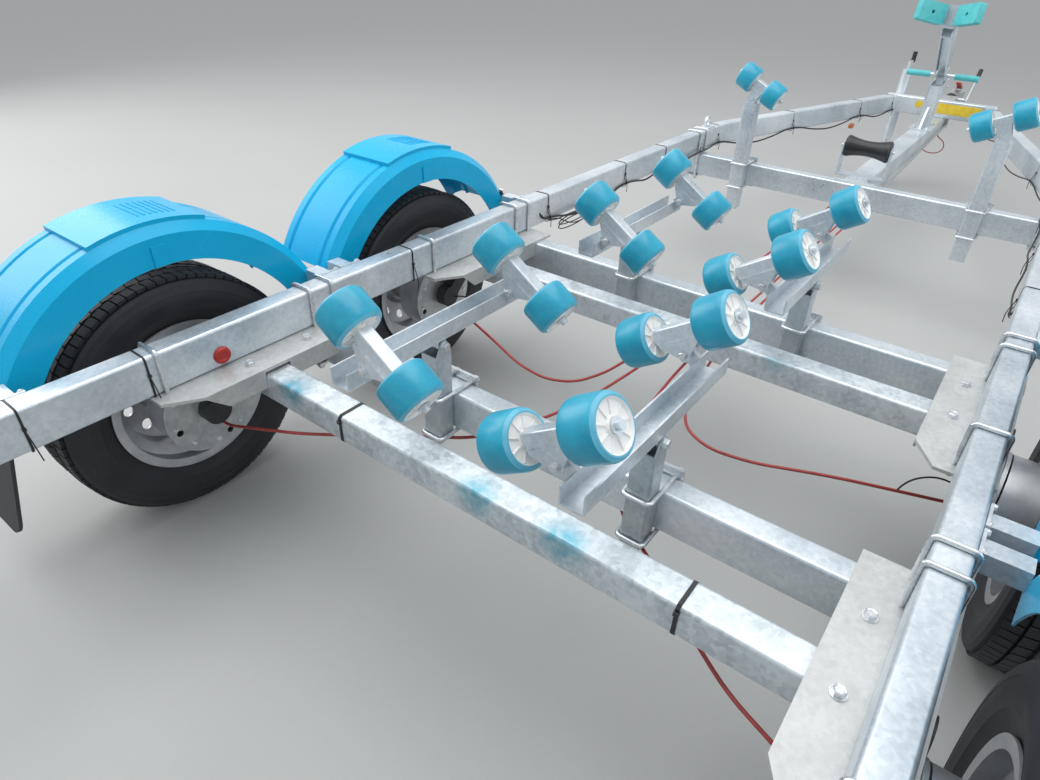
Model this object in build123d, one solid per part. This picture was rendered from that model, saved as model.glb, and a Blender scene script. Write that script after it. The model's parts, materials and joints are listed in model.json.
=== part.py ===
from build123d import *
import os
from math import cos, hypot, radians, sin, tan

# Tandem-axle roller trailer for a boat.
# Millimetres. +X is forward, +Y is left, +Z is up. The origin lies on the floor, midway along and across.

# Overall size
overall_length = 6500.0
overall_width = 2250.0

# Main rails: rectangular hollow section, straight to the bend, then drawn in to the head
rail_top = 575.0
rail_width = 60.0
rail_height = 100.0
rail_wall = 4.0
rail_corner = 8.0
rail_bend_radius = 500.0
head_gap = 490.0

# Places along the trailer
rear_overhang = 1250.0
axle_spacing = 880.0
tube_lead = 104.0
beam_lead = 321.0
rear_beam_from_end = 250.0
bend_from_bow_beam = 230.0
head_from_bend = 1640.0
nose_from_head = 692.0

# Tyres and wheels
tyre_radius = 327.0
tyre_width = 195.0
tyre_wall = 11.0
shoulder_drop = 14.0
shoulder_width = 16.0
belly_drop = 45.0
wheel_inset = 135.0
bead_radius = 190.0
flange_radius = 208.0
rim_half_width = 84.0
rim_wall = 4.0
well_depth = 26.0
disc_offset = 30.0
disc_thickness = 6.0
vent_count = 12
vent_radius = 14.0
vent_ring = 132.0
drum_radius = 122.0
drum_wall = 9.0
drum_gap = 12.0
stub_radius = 22.0
shaft_clearance = 0.05

# Axles: square tubes with a trailing arm at each end
axle_tube = 72.0
axle_wall = 6.0
axle_top = 459.0
arm_thickness = 36.0
arm_boss = 42.0
arm_hub_boss = 36.0
arm_web = 48.0
arm_tuck = 10.0
backplate_radius = 125.0
backplate_dish = 8.0
backplate_sheet = 3.0

# Brackets between rail and axle
plate_thickness = 8.0
plate_ahead_of_hub = 378.0
plate_behind_hub = 167.0
plate_reach = 88.0
plate_outer_margin = 20.0
plate_lip = 52.0
lip_sheet = 6.0
plate_slant = 80.0
plate_slant_out = 50.0
rear_bolt_from_hub = 131.0
gusset_reach = 30.0

# Cross beams
beam_width = 60.0
beam_height = 100.0
beam_wall = 4.0

# Fastenings
rod_radius = 5.0
rod_bend = 10.5
rod_tip = 22.0
fit_gap = 0.3
clamp_thickness = 8.0
clamp_half_width = 14.0
clamp_reach = 30.0
pin_radius = 6.0
pin_clearance = 0.06
pin_tail = 8.0

# Mudguards and their stays
guard_width = 246.0
guard_radius = 475.0
guard_arch = 374.0
guard_sheet = 4.0
guard_edge = 22.0
guard_lip = 60.0
guard_half_angle = 64.0
groove_inset = 52.0
groove_depth = 7.0
groove_width = 14.0
platform_length = 220.0
platform_rise = 10.0
platform_ramp = 30.0
boss_width = 36.0
boss_rise = 4.0
boss_top = 424.0
stay_length = 79.0
stay_size = 40.0
stay_wall = 3.0
stay_foot = 5.0
stay_foot_margin = 14.0
stay_from_hub = 402.0
stay_z = 545.0

# Mudflaps
flap_thickness = 8.0
flap_length = 400.0
flap_lean = 13.0
flap_corner = 40.0
flap_behind_hub = 374.5
flap_top = 565.0
flap_inset = 20.0
flap_strap_height = 24.0
flap_strap_drop = 8.0

# Roller cradles
cradle_y = 270.0
cradle_pivot_z = 604.0
arm_width = 50.0
arm_height = 40.0
arm_wall = 4.0
arm_corner = 5.0
arm_drop = 14.0
arm_tail = 44.0
lug_radius = 12.0
tab_thickness = 10.0
yoke_spread = 225.0
post_size = 50.0
post_wall = 4.0
post_foot_z = 345.0
post_notch = 24.0
yoke_y = 222.0
yoke_z = 668.0
yoke_tilt = 33.0
yoke_rise = 45.0
yoke_half_gap = 17.5
yoke_half_top = 46.0
yoke_sheet = 4.0
yoke_tip = 11.0
yoke_tip_drop = 6.0

# Rollers
roller_radius = 55.0
roller_width = 75.0
roller_half_spread = 92.0
roller_hub_radius = 40.0
roller_recess = 6.0
roller_boss = 17.0
roller_chamfer = 8.0
roller_tube = 34.0
roller_tube_corner = 4.0
shaft_radius = 8.0
shaft_tail = 12.0
washer_radius = 14.0
washer_thickness = 3.0
side_play = 1.5

# Posts on the bow beam, each with one roller pair on a fixed head
bow_post_y = 505.0
bow_post_size = 60.0
bow_post_foot = 268.0
bow_post_top = 770.0
bow_tilt = 26.0
bow_rise = 60.0
bow_half_spread = 70.0
bow_head_half = 26.0
bow_head_foot = 16.0
bow_cap = 6.0

# Drawbar, head and keel roller
drawbar_size = 100.0
drawbar_wall = 5.0
drawbar_end_from_nose = 460.0
drawbar_flange = 8.0
drawbar_flange_half = 90.0
head_beam_length = 620.0
head_beam_width = 60.0
keel_from_bow_beam = 122.0
keel_z = 600.0
keel_length = 190.0
keel_end_radius = 46.0
keel_waist_radius = 33.0
keel_sheet = 6.0
keel_base_half = 32.0
keel_cheek_half = 20.0

# Winch post with its bow pads and push bar
winch_from_head = 388.0
winch_tube = 60.0
winch_lower_top = 705.0
winch_cheek_reach = 150.0
winch_sheet = 6.0
winch_foot_back = 110.0
winch_foot_front = 90.0
winch_foot_half = 62.0
winch_gusset = 110.0
winch_upper_step = 115.0
winch_upper_drop = 15.0
winch_upper_tube = 46.0
winch_lean = 45.0
winch_upper_length = 440.0
winch_plate_start = 150.0
winch_plate_width = 100.0
winch_plate_over = 40.0
winch_crown_rise = 30.0
pad_from_tip = 122.66
pad_y = 103.0
pad_above_tip = 61.66
pad_width = 150.0
pad_height = 94.0
pad_depth = 38.0
pad_corner = 10.0
pad_hole = 9.0
pad_angle = 45.0
pad_lean = 15.0
pad_plate_margin = 12.0
bar_radius = 11.0
bar_half = 185.0
bar_z = 748.0
bar_behind_upper = 30.0
bar_hanger = 30.0
hanger_half = 16.0
hanger_sheet = 8.0
grip_radius = 16.0
grip_length = 120.0

# Overrun unit and coupling
housing_half = 54.0
housing_gap = 8.0
housing_reach = 60.0
coupling_z = 522.0
draw_tube_radius = 25.0
head_reach = 200.0
head_half = 34.0
head_below = 30.0
head_above = 32.0
head_ball_radius = 44.0
ball_radius = 25.0
ball_clearance = 0.2
socket_from_nose = 58.0
latch_ear = 5.0
latch_half = 13.0
latch_pin = 5.0
latch_rise = 50.0
latch_boss = 11.0
latch_length = 136.0
bellows_folds = 7
fold_pitch = 14.0
fold_low = 31.0
fold_high = 42.0

# Handbrake lever and brake rod
lever_ahead_of_bar = 40.0
lever_z = 545.0
lever_y = 102.0
lever_sheet = 8.0
lever_half_width = 14.0
lever_shank = 165.0
lever_grip = 100.0
lever_grip_radius = 13.0
lever_pin = 8.0
lever_lean = 53.0
brake_rod_radius = 6.0
brake_rod_y = 62.0
brake_rod_rear_z = 358.0
brake_rod_front_z = 423.0
drop_arm_from_bar_end = 150.0
drop_arm_half = 14.0
drop_arm_sheet = 16.0
equaliser_from_bow_beam = 260.0
equaliser_thickness = 12.0
equaliser_half = 78.0
equaliser_height = 32.0

# Jockey wheel
jockey_inset = 55.0
jockey_outer_radius = 30.0
jockey_inner_radius = 24.0
jockey_gap = 0.8
jockey_top = 712.0
jockey_outer_foot = 290.0
jockey_wheel_radius = 100.0
jockey_wheel_width = 52.0
jockey_trail = 45.0
jockey_fork_rise = 34.0
jockey_fork_sheet = 5.0
jockey_side_gap = 5.0
jockey_axle = 9.0
jockey_pad_half = 34.0
jockey_collar = 9.0
jockey_stand_off = 10.0
jockey_margin = 22.0
crank_radius = 7.0
crank_reach = 86.0
crank_rise = 42.0
knob_radius = 13.0
knob_height = 60.0

# Rear board
board_height = 140.0
board_thickness = 20.0
board_inset = 125.0
board_drop = 10.0
lamp_depth = 45.0
lamp_width = 230.0
lamp_height = 120.0
lamp_corner = 16.0
lamp_margin = 15.0

# Tie-down eyes
eye_before_bend = 130.0
eye_rise = 26.0
eye_radius = 27.0
eye_hole = 16.0
eye_half = 6.0
eye_foot = 24.0
eye_base = 40.0
eye_base_thickness = 5.0

# Brake cables
cable_radius = 4.0
cable_drop = 22.0
cable_sag = 5.0
cable_stretches = 7
cable_lead = 30.0

# Places worked out from the sizes above
rear_x = -overall_length / 2
nose_x = overall_length / 2
guard_outer = overall_width / 2
guard_inner = guard_outer - guard_width
guard_crown = guard_radius - platform_rise
rail_bottom = rail_top - rail_height
rail_outer = guard_inner - stay_length
rail_inner = rail_outer - rail_width
rail_mid = rail_outer - rail_width / 2
rails_end = rear_x + lamp_depth + board_thickness
hub_rear = rear_x + rear_overhang
hub_front = hub_rear + axle_spacing
hubs = [hub_rear, hub_front]
hub_z = tyre_radius
wheel_y = guard_outer - wheel_inset
plate_inner_y = rail_inner - plate_reach
arm_inner = rail_outer - arm_tuck
arm_outer = arm_inner + arm_thickness
tube_z = axle_top - axle_tube / 2
beam_top = rail_bottom - plate_thickness
head_x = nose_x - nose_from_head
bend_x = head_x - head_from_bend
bow_beam_x = bend_x - bend_from_bow_beam
bow_post_x = bow_beam_x - beam_width / 2 - bow_post_size / 2
head_back = head_x - head_beam_width / 2
head_front = head_x + head_beam_width / 2
winch_x = head_x - winch_from_head
winch_upper_x = winch_x + winch_upper_step
winch_upper_z = winch_lower_top - winch_upper_drop
winch_lift = winch_upper_length + winch_crown_rise
winch_tip_x = winch_upper_x - winch_lift * sin(radians(winch_lean))
winch_tip_z = winch_upper_z + winch_lift * cos(radians(winch_lean))
pad_x = winch_tip_x - pad_from_tip
pad_z = winch_tip_z + pad_above_tip
drawbar_top = rail_bottom
drawbar_bottom = drawbar_top - drawbar_size
drawbar_end = nose_x - drawbar_end_from_nose
housing_back = head_front + housing_gap
housing_front = drawbar_end + housing_reach
lever_x = drawbar_end + lever_ahead_of_bar
drop_arm_x = drawbar_end - drop_arm_from_bar_end
equaliser_x = bow_beam_x + equaliser_from_bow_beam
ball_x = nose_x - socket_from_nose
latch_z = coupling_z + latch_rise
jockey_x = head_front + jockey_stand_off + jockey_outer_radius
jockey_y = head_beam_length / 2 - jockey_inset
fork_top = 2 * jockey_wheel_radius + jockey_fork_rise
board_z = rail_bottom + rail_height / 2 - board_drop
board_half = guard_outer - board_inset
sides = [("left", 1), ("right", -1)]
ends = [("rear", hub_rear), ("front", hub_front)]

# One row for each cross beam: its name, its centre along X and its top
beam_table = [
    ("rear_end", rear_x + rear_beam_from_end, rail_bottom),
    ("rear", hub_rear + beam_lead, beam_top),
    ("front", hub_front + beam_lead, beam_top),
    ("bow", bow_beam_x, rail_bottom),
]
end_beams = [beam_table[0], beam_table[3]]
axle_beams = beam_table[1:3]

# Brake cable of a rear wheel, one row for each bend: ahead of the hub, out from the middle, height
rear_cable_table = [
    (12.0, arm_outer, 280.0),
    (12.0, 780.0, 280.0),
    (69.0, 560.0, 326.0),
    (121.0, 480.0, 330.0),
    (250.0, 310.0, 332.0),
    (320.0, 200.0, 338.0),
    (500.0, 110.0, 345.0),
    (650.0, 72.0, 348.0),
    (900.0, 44.0, 350.0),
]

# Brake cable of a front wheel, with the same columns
front_cable_table = [
    (10.0, arm_outer, 285.0),
    (10.0, 775.0, 285.0),
    (-118.0, 525.0, 318.0),
    (-187.0, 355.0, 314.0),
    (-202.0, 250.0, 314.0),
    (-169.0, 172.0, 318.0),
    (-83.0, 126.0, 326.0),
    (60.0, 102.0, 334.0),
    (300.0, 74.0, 350.0),
]


def block(x0, x1, y0, y1, z0, z1):
    """A box between two corners."""
    return Pos((x0 + x1) / 2, (y0 + y1) / 2, (z0 + z1) / 2) * Box(abs(x1 - x0), abs(y1 - y0), abs(z1 - z0))


def rod_x(radius, x0, x1, y, z):
    """A round bar along X."""
    return Pos((x0 + x1) / 2, y, z) * Rot(0, 90, 0) * Cylinder(radius, abs(x1 - x0))


def rod_y(radius, x, y0, y1, z):
    """A round bar along Y."""
    return Pos(x, (y0 + y1) / 2, z) * Rot(90, 0, 0) * Cylinder(radius, abs(y1 - y0))


def rod_z(radius, x, y, z0, z1):
    """A round bar along Z."""
    return Pos(x, y, (z0 + z1) / 2) * Cylinder(radius, abs(z1 - z0))


def hollow_x(x0, x1, y, z, width, height, wall, corner):
    """A hollow section along X, centred on y and z."""
    outer = RectangleRounded(height, width, corner)
    inner = RectangleRounded(height - 2 * wall, width - 2 * wall, corner - wall)
    return Plane(origin=(x0, y, z), x_dir=(0, 0, 1), z_dir=(1, 0, 0)) * extrude(outer - inner, x1 - x0)


def hollow_y(x, half, z, width, height, wall, corner):
    """A hollow section along Y, centred on x and z."""
    outer = RectangleRounded(width, height, corner)
    inner = RectangleRounded(width - 2 * wall, height - 2 * wall, corner - wall)
    return Plane(origin=(x, half, z), x_dir=(1, 0, 0), z_dir=(0, -1, 0)) * extrude(outer - inner, 2 * half)


def hollow_z(x, y, z0, z1, size, wall, corner):
    """A square hollow section along Z."""
    inside = size - 2 * wall
    tube = RectangleRounded(size, size, corner) - RectangleRounded(inside, inside, corner - wall)
    return Pos(x, y, z0) * extrude(tube, z1 - z0)


def polygon_y(points, y0, y1):
    """A flat plate across Y, with its outline given as x, z points."""
    face = make_face(Polyline(*[(x, 0, z) for x, z in points], close=True))
    return Pos(0, y0, 0) * extrude(face, y1 - y0, dir=(0, 1, 0))


def polygon_x(points, x0, x1):
    """A flat plate across X, with its outline given as y, z points."""
    face = make_face(Polyline(*[(0, y, z) for y, z in points], close=True))
    return Pos(x0, 0, 0) * extrude(face, x1 - x0, dir=(1, 0, 0))


def polygon_z(points, z0, z1):
    """A flat plate lying level, with its outline given as x, y points."""
    face = make_face(Polyline(*[(x, y, 0) for x, y in points], close=True))
    return Pos(0, 0, z0) * extrude(face, z1 - z0, dir=(0, 0, 1))


def turned_y(points):
    """A ring turned about the Y axis, from y and radius points."""
    face = make_face(Polyline(*[(0, y, r) for y, r in points], close=True))
    return revolve(face, Axis((0, 0, 0), (0, 1, 0)), 360)


def mirrored(shape):
    """The same piece on the other side of the trailer."""
    return mirror(shape, Plane.XZ)


def both_sides(shape):
    """The left piece and its mirror image."""
    return [shape, mirrored(shape)]


def save(name, solids):
    """Write one node. Its pieces don't touch each other."""
    shape = Compound(children=[s for part in solids for s in part.solids()])
    export_step(shape, os.path.join("parts", name + ".step"))


def u_bolt(width, leg):
    """A bent rod: its crown lies along Y at z = 0, and its legs point down."""
    half = width / 2
    path = FilletPolyline((0, -half, -leg), (0, -half, 0), (0, half, 0), (0, half, -leg), radius=rod_bend)
    return sweep(Plane(origin=(0, -half, -leg), z_dir=(0, 0, 1)) * Circle(rod_radius), path)


def main_rail():
    """One hollow rail, swept along its straight and its bend, and cut off at the head beam."""
    lead = rail_inner - head_gap / 2
    overrun = 200.0
    slope = lead / (head_back - bend_x)
    far = head_back + overrun
    mid_z = rail_bottom + rail_height / 2
    path = FilletPolyline(
        (rails_end, rail_mid, mid_z),
        (bend_x, rail_mid, mid_z),
        (far, rail_mid - slope * (far - bend_x), mid_z),
        radius=rail_bend_radius,
    )
    outer = RectangleRounded(rail_height, rail_width, rail_corner)
    inner = RectangleRounded(rail_height - 2 * rail_wall, rail_width - 2 * rail_wall, rail_corner - rail_wall)
    start = Plane(origin=(rails_end, rail_mid, mid_z), x_dir=(0, 0, 1), z_dir=(1, 0, 0))
    rail = sweep(start * (outer - inner), path)
    return rail - block(head_back, far + overrun, 0, rail_outer, 0, rail_top * 2)


def tie_down_eye():
    """Welded ring on the rail's top, in line with the rail."""
    x = bend_x - eye_before_bend
    z = rail_top + eye_rise
    ring = rod_y(eye_radius, x, rail_mid - eye_half, rail_mid + eye_half, z)
    foot = block(x - eye_foot, x + eye_foot, rail_mid - eye_half, rail_mid + eye_half, rail_top, z)
    base = block(x - eye_base, x + eye_base, rail_inner + rail_wall, rail_outer - rail_wall,
                 rail_top, rail_top + eye_base_thickness)
    return ring + foot + base - rod_y(eye_hole, x, rail_mid - eye_radius, rail_mid + eye_radius, z)


def cross_beam(x, top):
    """A hollow beam from rail to rail, under them."""
    return hollow_y(x, rail_outer + plate_outer_margin, top - beam_height / 2,
                    beam_width, beam_height, beam_wall, rail_corner)


def axle_tube_solid(hub):
    """The square tube between the two trailing arms."""
    return hollow_y(hub + tube_lead, arm_inner, tube_z, axle_tube, axle_tube, axle_wall, axle_wall + 2)


def rail_bolt_table(hub):
    """Rows for one axle: place along X, and the height that the bolt's bar is pulled up to."""
    beam_x = hub + beam_lead
    off = beam_width / 2 + rod_radius + fit_gap
    return [
        (hub - rear_bolt_from_hub, beam_top),
        (beam_x - off, beam_top - beam_height),
        (beam_x + off, beam_top - beam_height),
    ]


def axle_bracket(hub):
    """A folded plate under the rail, notched over the axle tube and the beam."""
    x0 = hub - plate_behind_hub
    x1 = hub + plate_ahead_of_hub
    outer = rail_outer + plate_outer_margin
    top = polygon_z([(x0, outer), (x0, plate_inner_y + plate_slant_out), (x0 + plate_slant, plate_inner_y),
                     (x1, plate_inner_y), (x1, outer)], beam_top, rail_bottom)
    low = rail_bottom - plate_lip
    lip_end = x0 + plate_slant + plate_lip
    lip = polygon_y([(x0 + plate_slant, beam_top), (lip_end, low), (x1, low), (x1, beam_top)],
                    plate_inner_y, plate_inner_y + lip_sheet)
    tube_x = hub + tube_lead
    half_tube = axle_tube / 2 + fit_gap
    lip -= block(tube_x - half_tube, tube_x + half_tube, 0, rail_inner, 0, beam_top - fit_gap)
    lip -= block(hub + beam_lead - beam_width / 2 - fit_gap, x1 + fit_gap, 0, rail_inner, 0, beam_top)
    axle_bottom = axle_top - axle_tube
    gusset = polygon_x([(plate_inner_y + lip_sheet, beam_top), (rail_inner, beam_top),
                        (rail_inner, axle_bottom), (rail_inner - gusset_reach, axle_bottom)],
                       tube_x - half_tube - lip_sheet, tube_x - half_tube)
    plate = top + lip + gusset
    for x, bar_top in rail_bolt_table(hub):
        for y in (rail_inner - rod_radius - fit_gap, rail_outer + rod_radius + fit_gap):
            plate -= rod_z(rod_radius + fit_gap, x, y, beam_top - rod_tip, rail_bottom + rod_tip)
    return plate


def rail_clamp(x, bar_top):
    """One U-bolt over the left rail, with the clamp bar that its legs go through."""
    crown = rail_top + rod_radius + fit_gap
    span = rail_width + 2 * (rod_radius + fit_gap)
    bolt = Pos(x, rail_mid, crown) * u_bolt(span, crown - bar_top + rod_tip)
    half = span / 2 + clamp_half_width
    bar = block(x - clamp_half_width, x + clamp_half_width, rail_mid - half, rail_mid + half,
                bar_top - clamp_thickness, bar_top)
    return bolt + bar


def post_clamp(beam_x, y, z, inward, size):
    """A level U-bolt round a post behind a beam, with its bar on the beam's front face."""
    back = beam_x - beam_width / 2 - size - rod_radius - fit_gap
    front = beam_x + beam_width / 2
    span = size + 2 * (rod_radius + fit_gap)
    leg = front + rod_tip - back
    bolt = Pos(back, y, z) * Rot(0, -90, 0) * u_bolt(span, leg)
    half = span / 2 + clamp_half_width
    bar = block(front, front + clamp_thickness, y - half, y + half,
                min(z - clamp_half_width, z + inward * clamp_reach),
                max(z + clamp_half_width, z + inward * clamp_reach))
    return bolt + bar


def post_clamps(beam_x, top, y, size):
    """The two U-bolts of a post, over and under its beam."""
    over = post_clamp(beam_x, y, top + rod_radius + fit_gap, -1, size)
    under = post_clamp(beam_x, y, top - beam_height - rod_radius - fit_gap, 1, size)
    return both_sides(over) + both_sides(under)


def swing_arm(hub):
    """Trailing arm and stub axle, outboard of the axle tube."""
    tube_x = hub + tube_lead
    boss = rod_y(arm_boss, tube_x, arm_inner, arm_outer, tube_z)
    eye = rod_y(arm_hub_boss, hub, arm_inner, arm_outer, hub_z)
    length = hypot(tube_lead, tube_z - hub_z)
    nx = -(tube_z - hub_z) / length * arm_web / 2
    nz = tube_lead / length * arm_web / 2
    web = polygon_y([(hub + nx, hub_z + nz), (tube_x + nx, tube_z + nz),
                     (tube_x - nx, tube_z - nz), (hub - nx, hub_z - nz)], arm_inner, arm_outer)
    stub = rod_y(stub_radius, hub, arm_outer, wheel_y + disc_offset, hub_z)
    return boss + eye + web + stub


def backplate(hub):
    """Pressed disc behind the drum, with a raised rim, a stepped middle and inspection holes."""
    y0 = arm_outer
    y1 = y0 + backplate_dish
    step_radius = 78.0
    hole_radius = 9.0
    hole_ring = 100.0
    hole_angles = (20, 100, 200, 290)
    disc = rod_y(backplate_radius, hub, y0, y1, hub_z)
    disc -= rod_y(backplate_radius - backplate_sheet, hub, y0 + backplate_sheet, y1, hub_z)
    step = rod_y(step_radius, hub, y0 + backplate_sheet, y0 + 2 * backplate_sheet, hub_z)
    plate = disc + step - rod_y(stub_radius + fit_gap, hub, y0 - fit_gap, y1, hub_z)
    for angle in hole_angles:
        x = hub + hole_ring * cos(radians(angle))
        z = hub_z + hole_ring * sin(radians(angle))
        plate -= rod_y(hole_radius, x, y0 - fit_gap, y1, z)
    return plate


def tyre(hub):
    """Tyre carcass turned about the hub: flat tread, round shoulders, bulged walls and beads."""
    half = tyre_width / 2
    shoulder = tyre_radius - shoulder_drop
    belly = shoulder - belly_drop
    tread = half - shoulder_width
    bead = rim_half_width - 6.0
    bead_toe = bead - 16.0
    bead_seat = bead_radius + fit_gap
    inner_tread = tread - 6.0
    inner_crown = tyre_radius - tyre_wall
    crown = Line((0, -tread, tyre_radius), (0, tread, tyre_radius))
    inside = Line((0, -inner_tread, inner_crown), (0, inner_tread, inner_crown))
    wall = [
        ThreePointArc((0, tread, tyre_radius), (0, half - 8.0, tyre_radius - 5.0), (0, half - 3.0, shoulder)),
        ThreePointArc((0, half - 3.0, shoulder), (0, half, belly), (0, bead, flange_radius + 2.0)),
        Line((0, bead, flange_radius + 2.0), (0, bead - 2.0, bead_seat)),
        Line((0, bead - 2.0, bead_seat), (0, bead_toe, bead_seat)),
        ThreePointArc((0, bead_toe, bead_seat), (0, half - tyre_wall, belly), (0, inner_tread, inner_crown)),
    ]
    face = make_face([crown, inside] + wall + [mirrored(edge) for edge in wall])
    return Pos(hub, wheel_y, hub_z) * revolve(face, Axis((0, 0, 0), (0, 1, 0)), 360)


def rim(hub):
    """Steel wheel: barrel with a drop centre, pierced disc, and the brake drum with its hub behind it."""
    w = rim_half_width
    seat = bead_radius - rim_wall
    well = bead_radius - well_depth
    outer = [(w, flange_radius), (w - 5, flange_radius), (w - 7, bead_radius), (w - 34, bead_radius),
             (w - 48, well)]
    inner = [(w - 50, well - rim_wall), (w - 36, seat), (w - 3, seat), (w, flange_radius - 6)]
    barrel = turned_y([(-a, r) for a, r in outer] + outer[::-1] + inner[::-1] + [(-a, r) for a, r in inner])
    y = disc_offset
    dish = 78.0
    swell = 12.0
    disc = turned_y([
        (y, stub_radius + 22), (y, dish), (y + swell, dish + 14), (y + swell, dish + 30),
        (y - disc_thickness, well - rim_wall), (y - 2 * disc_thickness, well - rim_wall),
        (y + swell - disc_thickness, dish + 28), (y + swell - disc_thickness, dish + 16),
        (y - disc_thickness, dish), (y - disc_thickness, stub_radius + 22),
    ])
    for i in range(vent_count):
        angle = radians(360.0 / vent_count * (i + 0.5))
        disc -= rod_y(vent_radius, vent_ring * cos(angle), -w, w, vent_ring * sin(angle))
    back = arm_outer + drum_gap - wheel_y
    bore = stub_radius + shaft_clearance
    cap = y + 24.0
    neck = 70.0
    depth = 74.0
    floor = 14.0
    drum = turned_y([
        (back, drum_radius), (back + depth, drum_radius), (back + depth + 10, drum_radius - 10),
        (y - 34, neck), (y - disc_thickness, neck), (y - disc_thickness, stub_radius + 18),
        (cap, stub_radius + 14), (cap, 0), (y + 6, 0), (y + 6, bore), (back + floor, bore),
        (back + floor, 40), (y - 60, 46), (back + depth - 8, drum_radius - drum_wall),
        (back, drum_radius - drum_wall),
    ])
    return Pos(hub, wheel_y, hub_z) * (barrel + disc + drum)


def ribbon(x, points, thickness):
    """A thin closed face in the plane at x: the open outline and the same line set inwards by the sheet."""
    inner = []
    count = len(points)
    for i, (y, z) in enumerate(points):
        normals = []
        for a, b in ((i - 1, i), (i, i + 1)):
            if a >= 0 and b < count:
                dy = points[b][0] - points[a][0]
                dz = points[b][1] - points[a][1]
                length = hypot(dy, dz)
                normals.append((dz / length, -dy / length))
        ny = sum(n[0] for n in normals)
        nz = sum(n[1] for n in normals)
        scale = 2 * thickness / (ny * ny + nz * nz) if len(normals) == 2 else thickness
        inner.append((y + ny * scale, z + nz * scale))
    loop = list(points) + inner[::-1]
    return make_face(Polyline(*[(x, y, z) for y, z in loop], close=True))


def mudguard(hub):
    """Crowned guard: a skirt with an arched cut-out, two grooves, a raised step on top and an outer lip."""
    near = guard_inner + groove_inset
    far = guard_outer - groove_inset
    g = groove_width / 2
    top = guard_crown
    points = [
        (guard_inner, guard_arch), (guard_inner, top - guard_edge), (guard_inner + guard_edge, top),
        (near - g, top), (near, top - groove_depth), (near + g, top),
        (far - g, top), (far, top - groove_depth), (far + g, top),
        (guard_outer - guard_edge, top), (guard_outer, top - guard_edge), (guard_outer, top - guard_lip),
    ]
    axle = Axis((hub, 0, 0), (0, 1, 0))
    shell = revolve(ribbon(hub, points, guard_sheet), axle, 2 * guard_half_angle)
    shell = shell.rotate(axle, -guard_half_angle)
    y0 = guard_inner + guard_edge
    y1 = guard_outer - guard_edge
    half = platform_length / 2
    ring = rod_y(guard_radius, hub, y0, y1, 0) - rod_y(top - groove_depth - guard_sheet, hub, y0, y1, 0)
    wedge = polygon_y([(hub - half, 0), (hub - half - platform_ramp, top), (hub - half, 2 * top),
                       (hub + half, 2 * top), (hub + half + platform_ramp, top), (hub + half, 0)], y0, y1)
    boss = block(hub - boss_width / 2, hub + boss_width / 2, guard_inner - boss_rise,
                 guard_inner + guard_sheet / 2, guard_arch, boss_top)
    return Pos(0, 0, hub_z) * (shell + (ring & wedge) + boss)


def flap_place():
    """Where the left mudflap hangs: the origin is the top edge of its front face."""
    return Pos(hub_rear - flap_behind_hub, (guard_inner + guard_outer) / 2, flap_top) * Rot(0, flap_lean, 0)


def mudflap():
    """A rubber flap behind the rear wheel, with its lower corners rounded."""
    sheet = Box(flap_thickness, guard_width - 2 * flap_inset, flap_length)
    low = sheet.edges().filter_by(Axis.X).sort_by(Axis.Z)[:2]
    return flap_place() * Pos(-flap_thickness / 2, 0, -flap_length / 2) * fillet(low, flap_corner)


def flap_strap():
    """The strip inside the rear guard that the flap is bolted to."""
    half = guard_width / 2 - flap_inset - 2 * guard_sheet
    reach = 60.0
    low = -flap_strap_drop - flap_strap_height
    strip = flap_place() * block(-flap_thickness - reach, -flap_thickness, -half, half, low, -flap_strap_drop)
    return strip & rod_y(guard_crown - guard_sheet / 2, hub_rear, guard_inner, guard_outer, hub_z)


def guard_stay(x):
    """A square stub from the rail's outer face to the guard's skirt, with a foot at each end."""
    half = stay_size / 2
    inside = half - stay_wall
    y0 = rail_outer + stay_foot
    y1 = guard_inner - stay_foot
    tube = block(x - half, x + half, y0, y1, stay_z - half, stay_z + half)
    tube -= block(x - inside, x + inside, y0, y1, stay_z - inside, stay_z + inside)
    margin = half + stay_foot_margin
    rail_foot = block(x - margin, x + margin, rail_outer, y0, rail_bottom, rail_top)
    skirt_foot = block(x - half, x + half, y1, guard_inner, stay_z - half, stay_z + half)
    return tube + rail_foot + skirt_foot


def cradle_post(beam_x):
    """An upright tube behind its beam; two of its walls run up as ears round the arm's lug."""
    x = beam_x - beam_width / 2 - post_size / 2
    half = post_size / 2
    ear = arm_drop - 1.0
    top = cradle_pivot_z + ear
    notch = cradle_pivot_z - post_notch
    post = hollow_z(x, cradle_y, post_foot_z, top, post_size, post_wall, post_wall + 1.5)
    post -= block(x - post_size, x + post_size, cradle_y - half + post_wall, cradle_y + half - post_wall,
                  notch, top + ear)
    keep = rod_y(ear, x, cradle_y - post_size, cradle_y + post_size, cradle_pivot_z)
    keep += polygon_y([(x - half, post_foot_z), (x + half, post_foot_z), (x + half, notch),
                       (x + ear, cradle_pivot_z), (x - ear, cradle_pivot_z), (x - half, notch)],
                      cradle_y - post_size, cradle_y + post_size)
    pin = rod_y(pin_radius, x, cradle_y - half - pin_tail, cradle_y + half + pin_tail, cradle_pivot_z)
    return (post & keep) + pin


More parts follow.
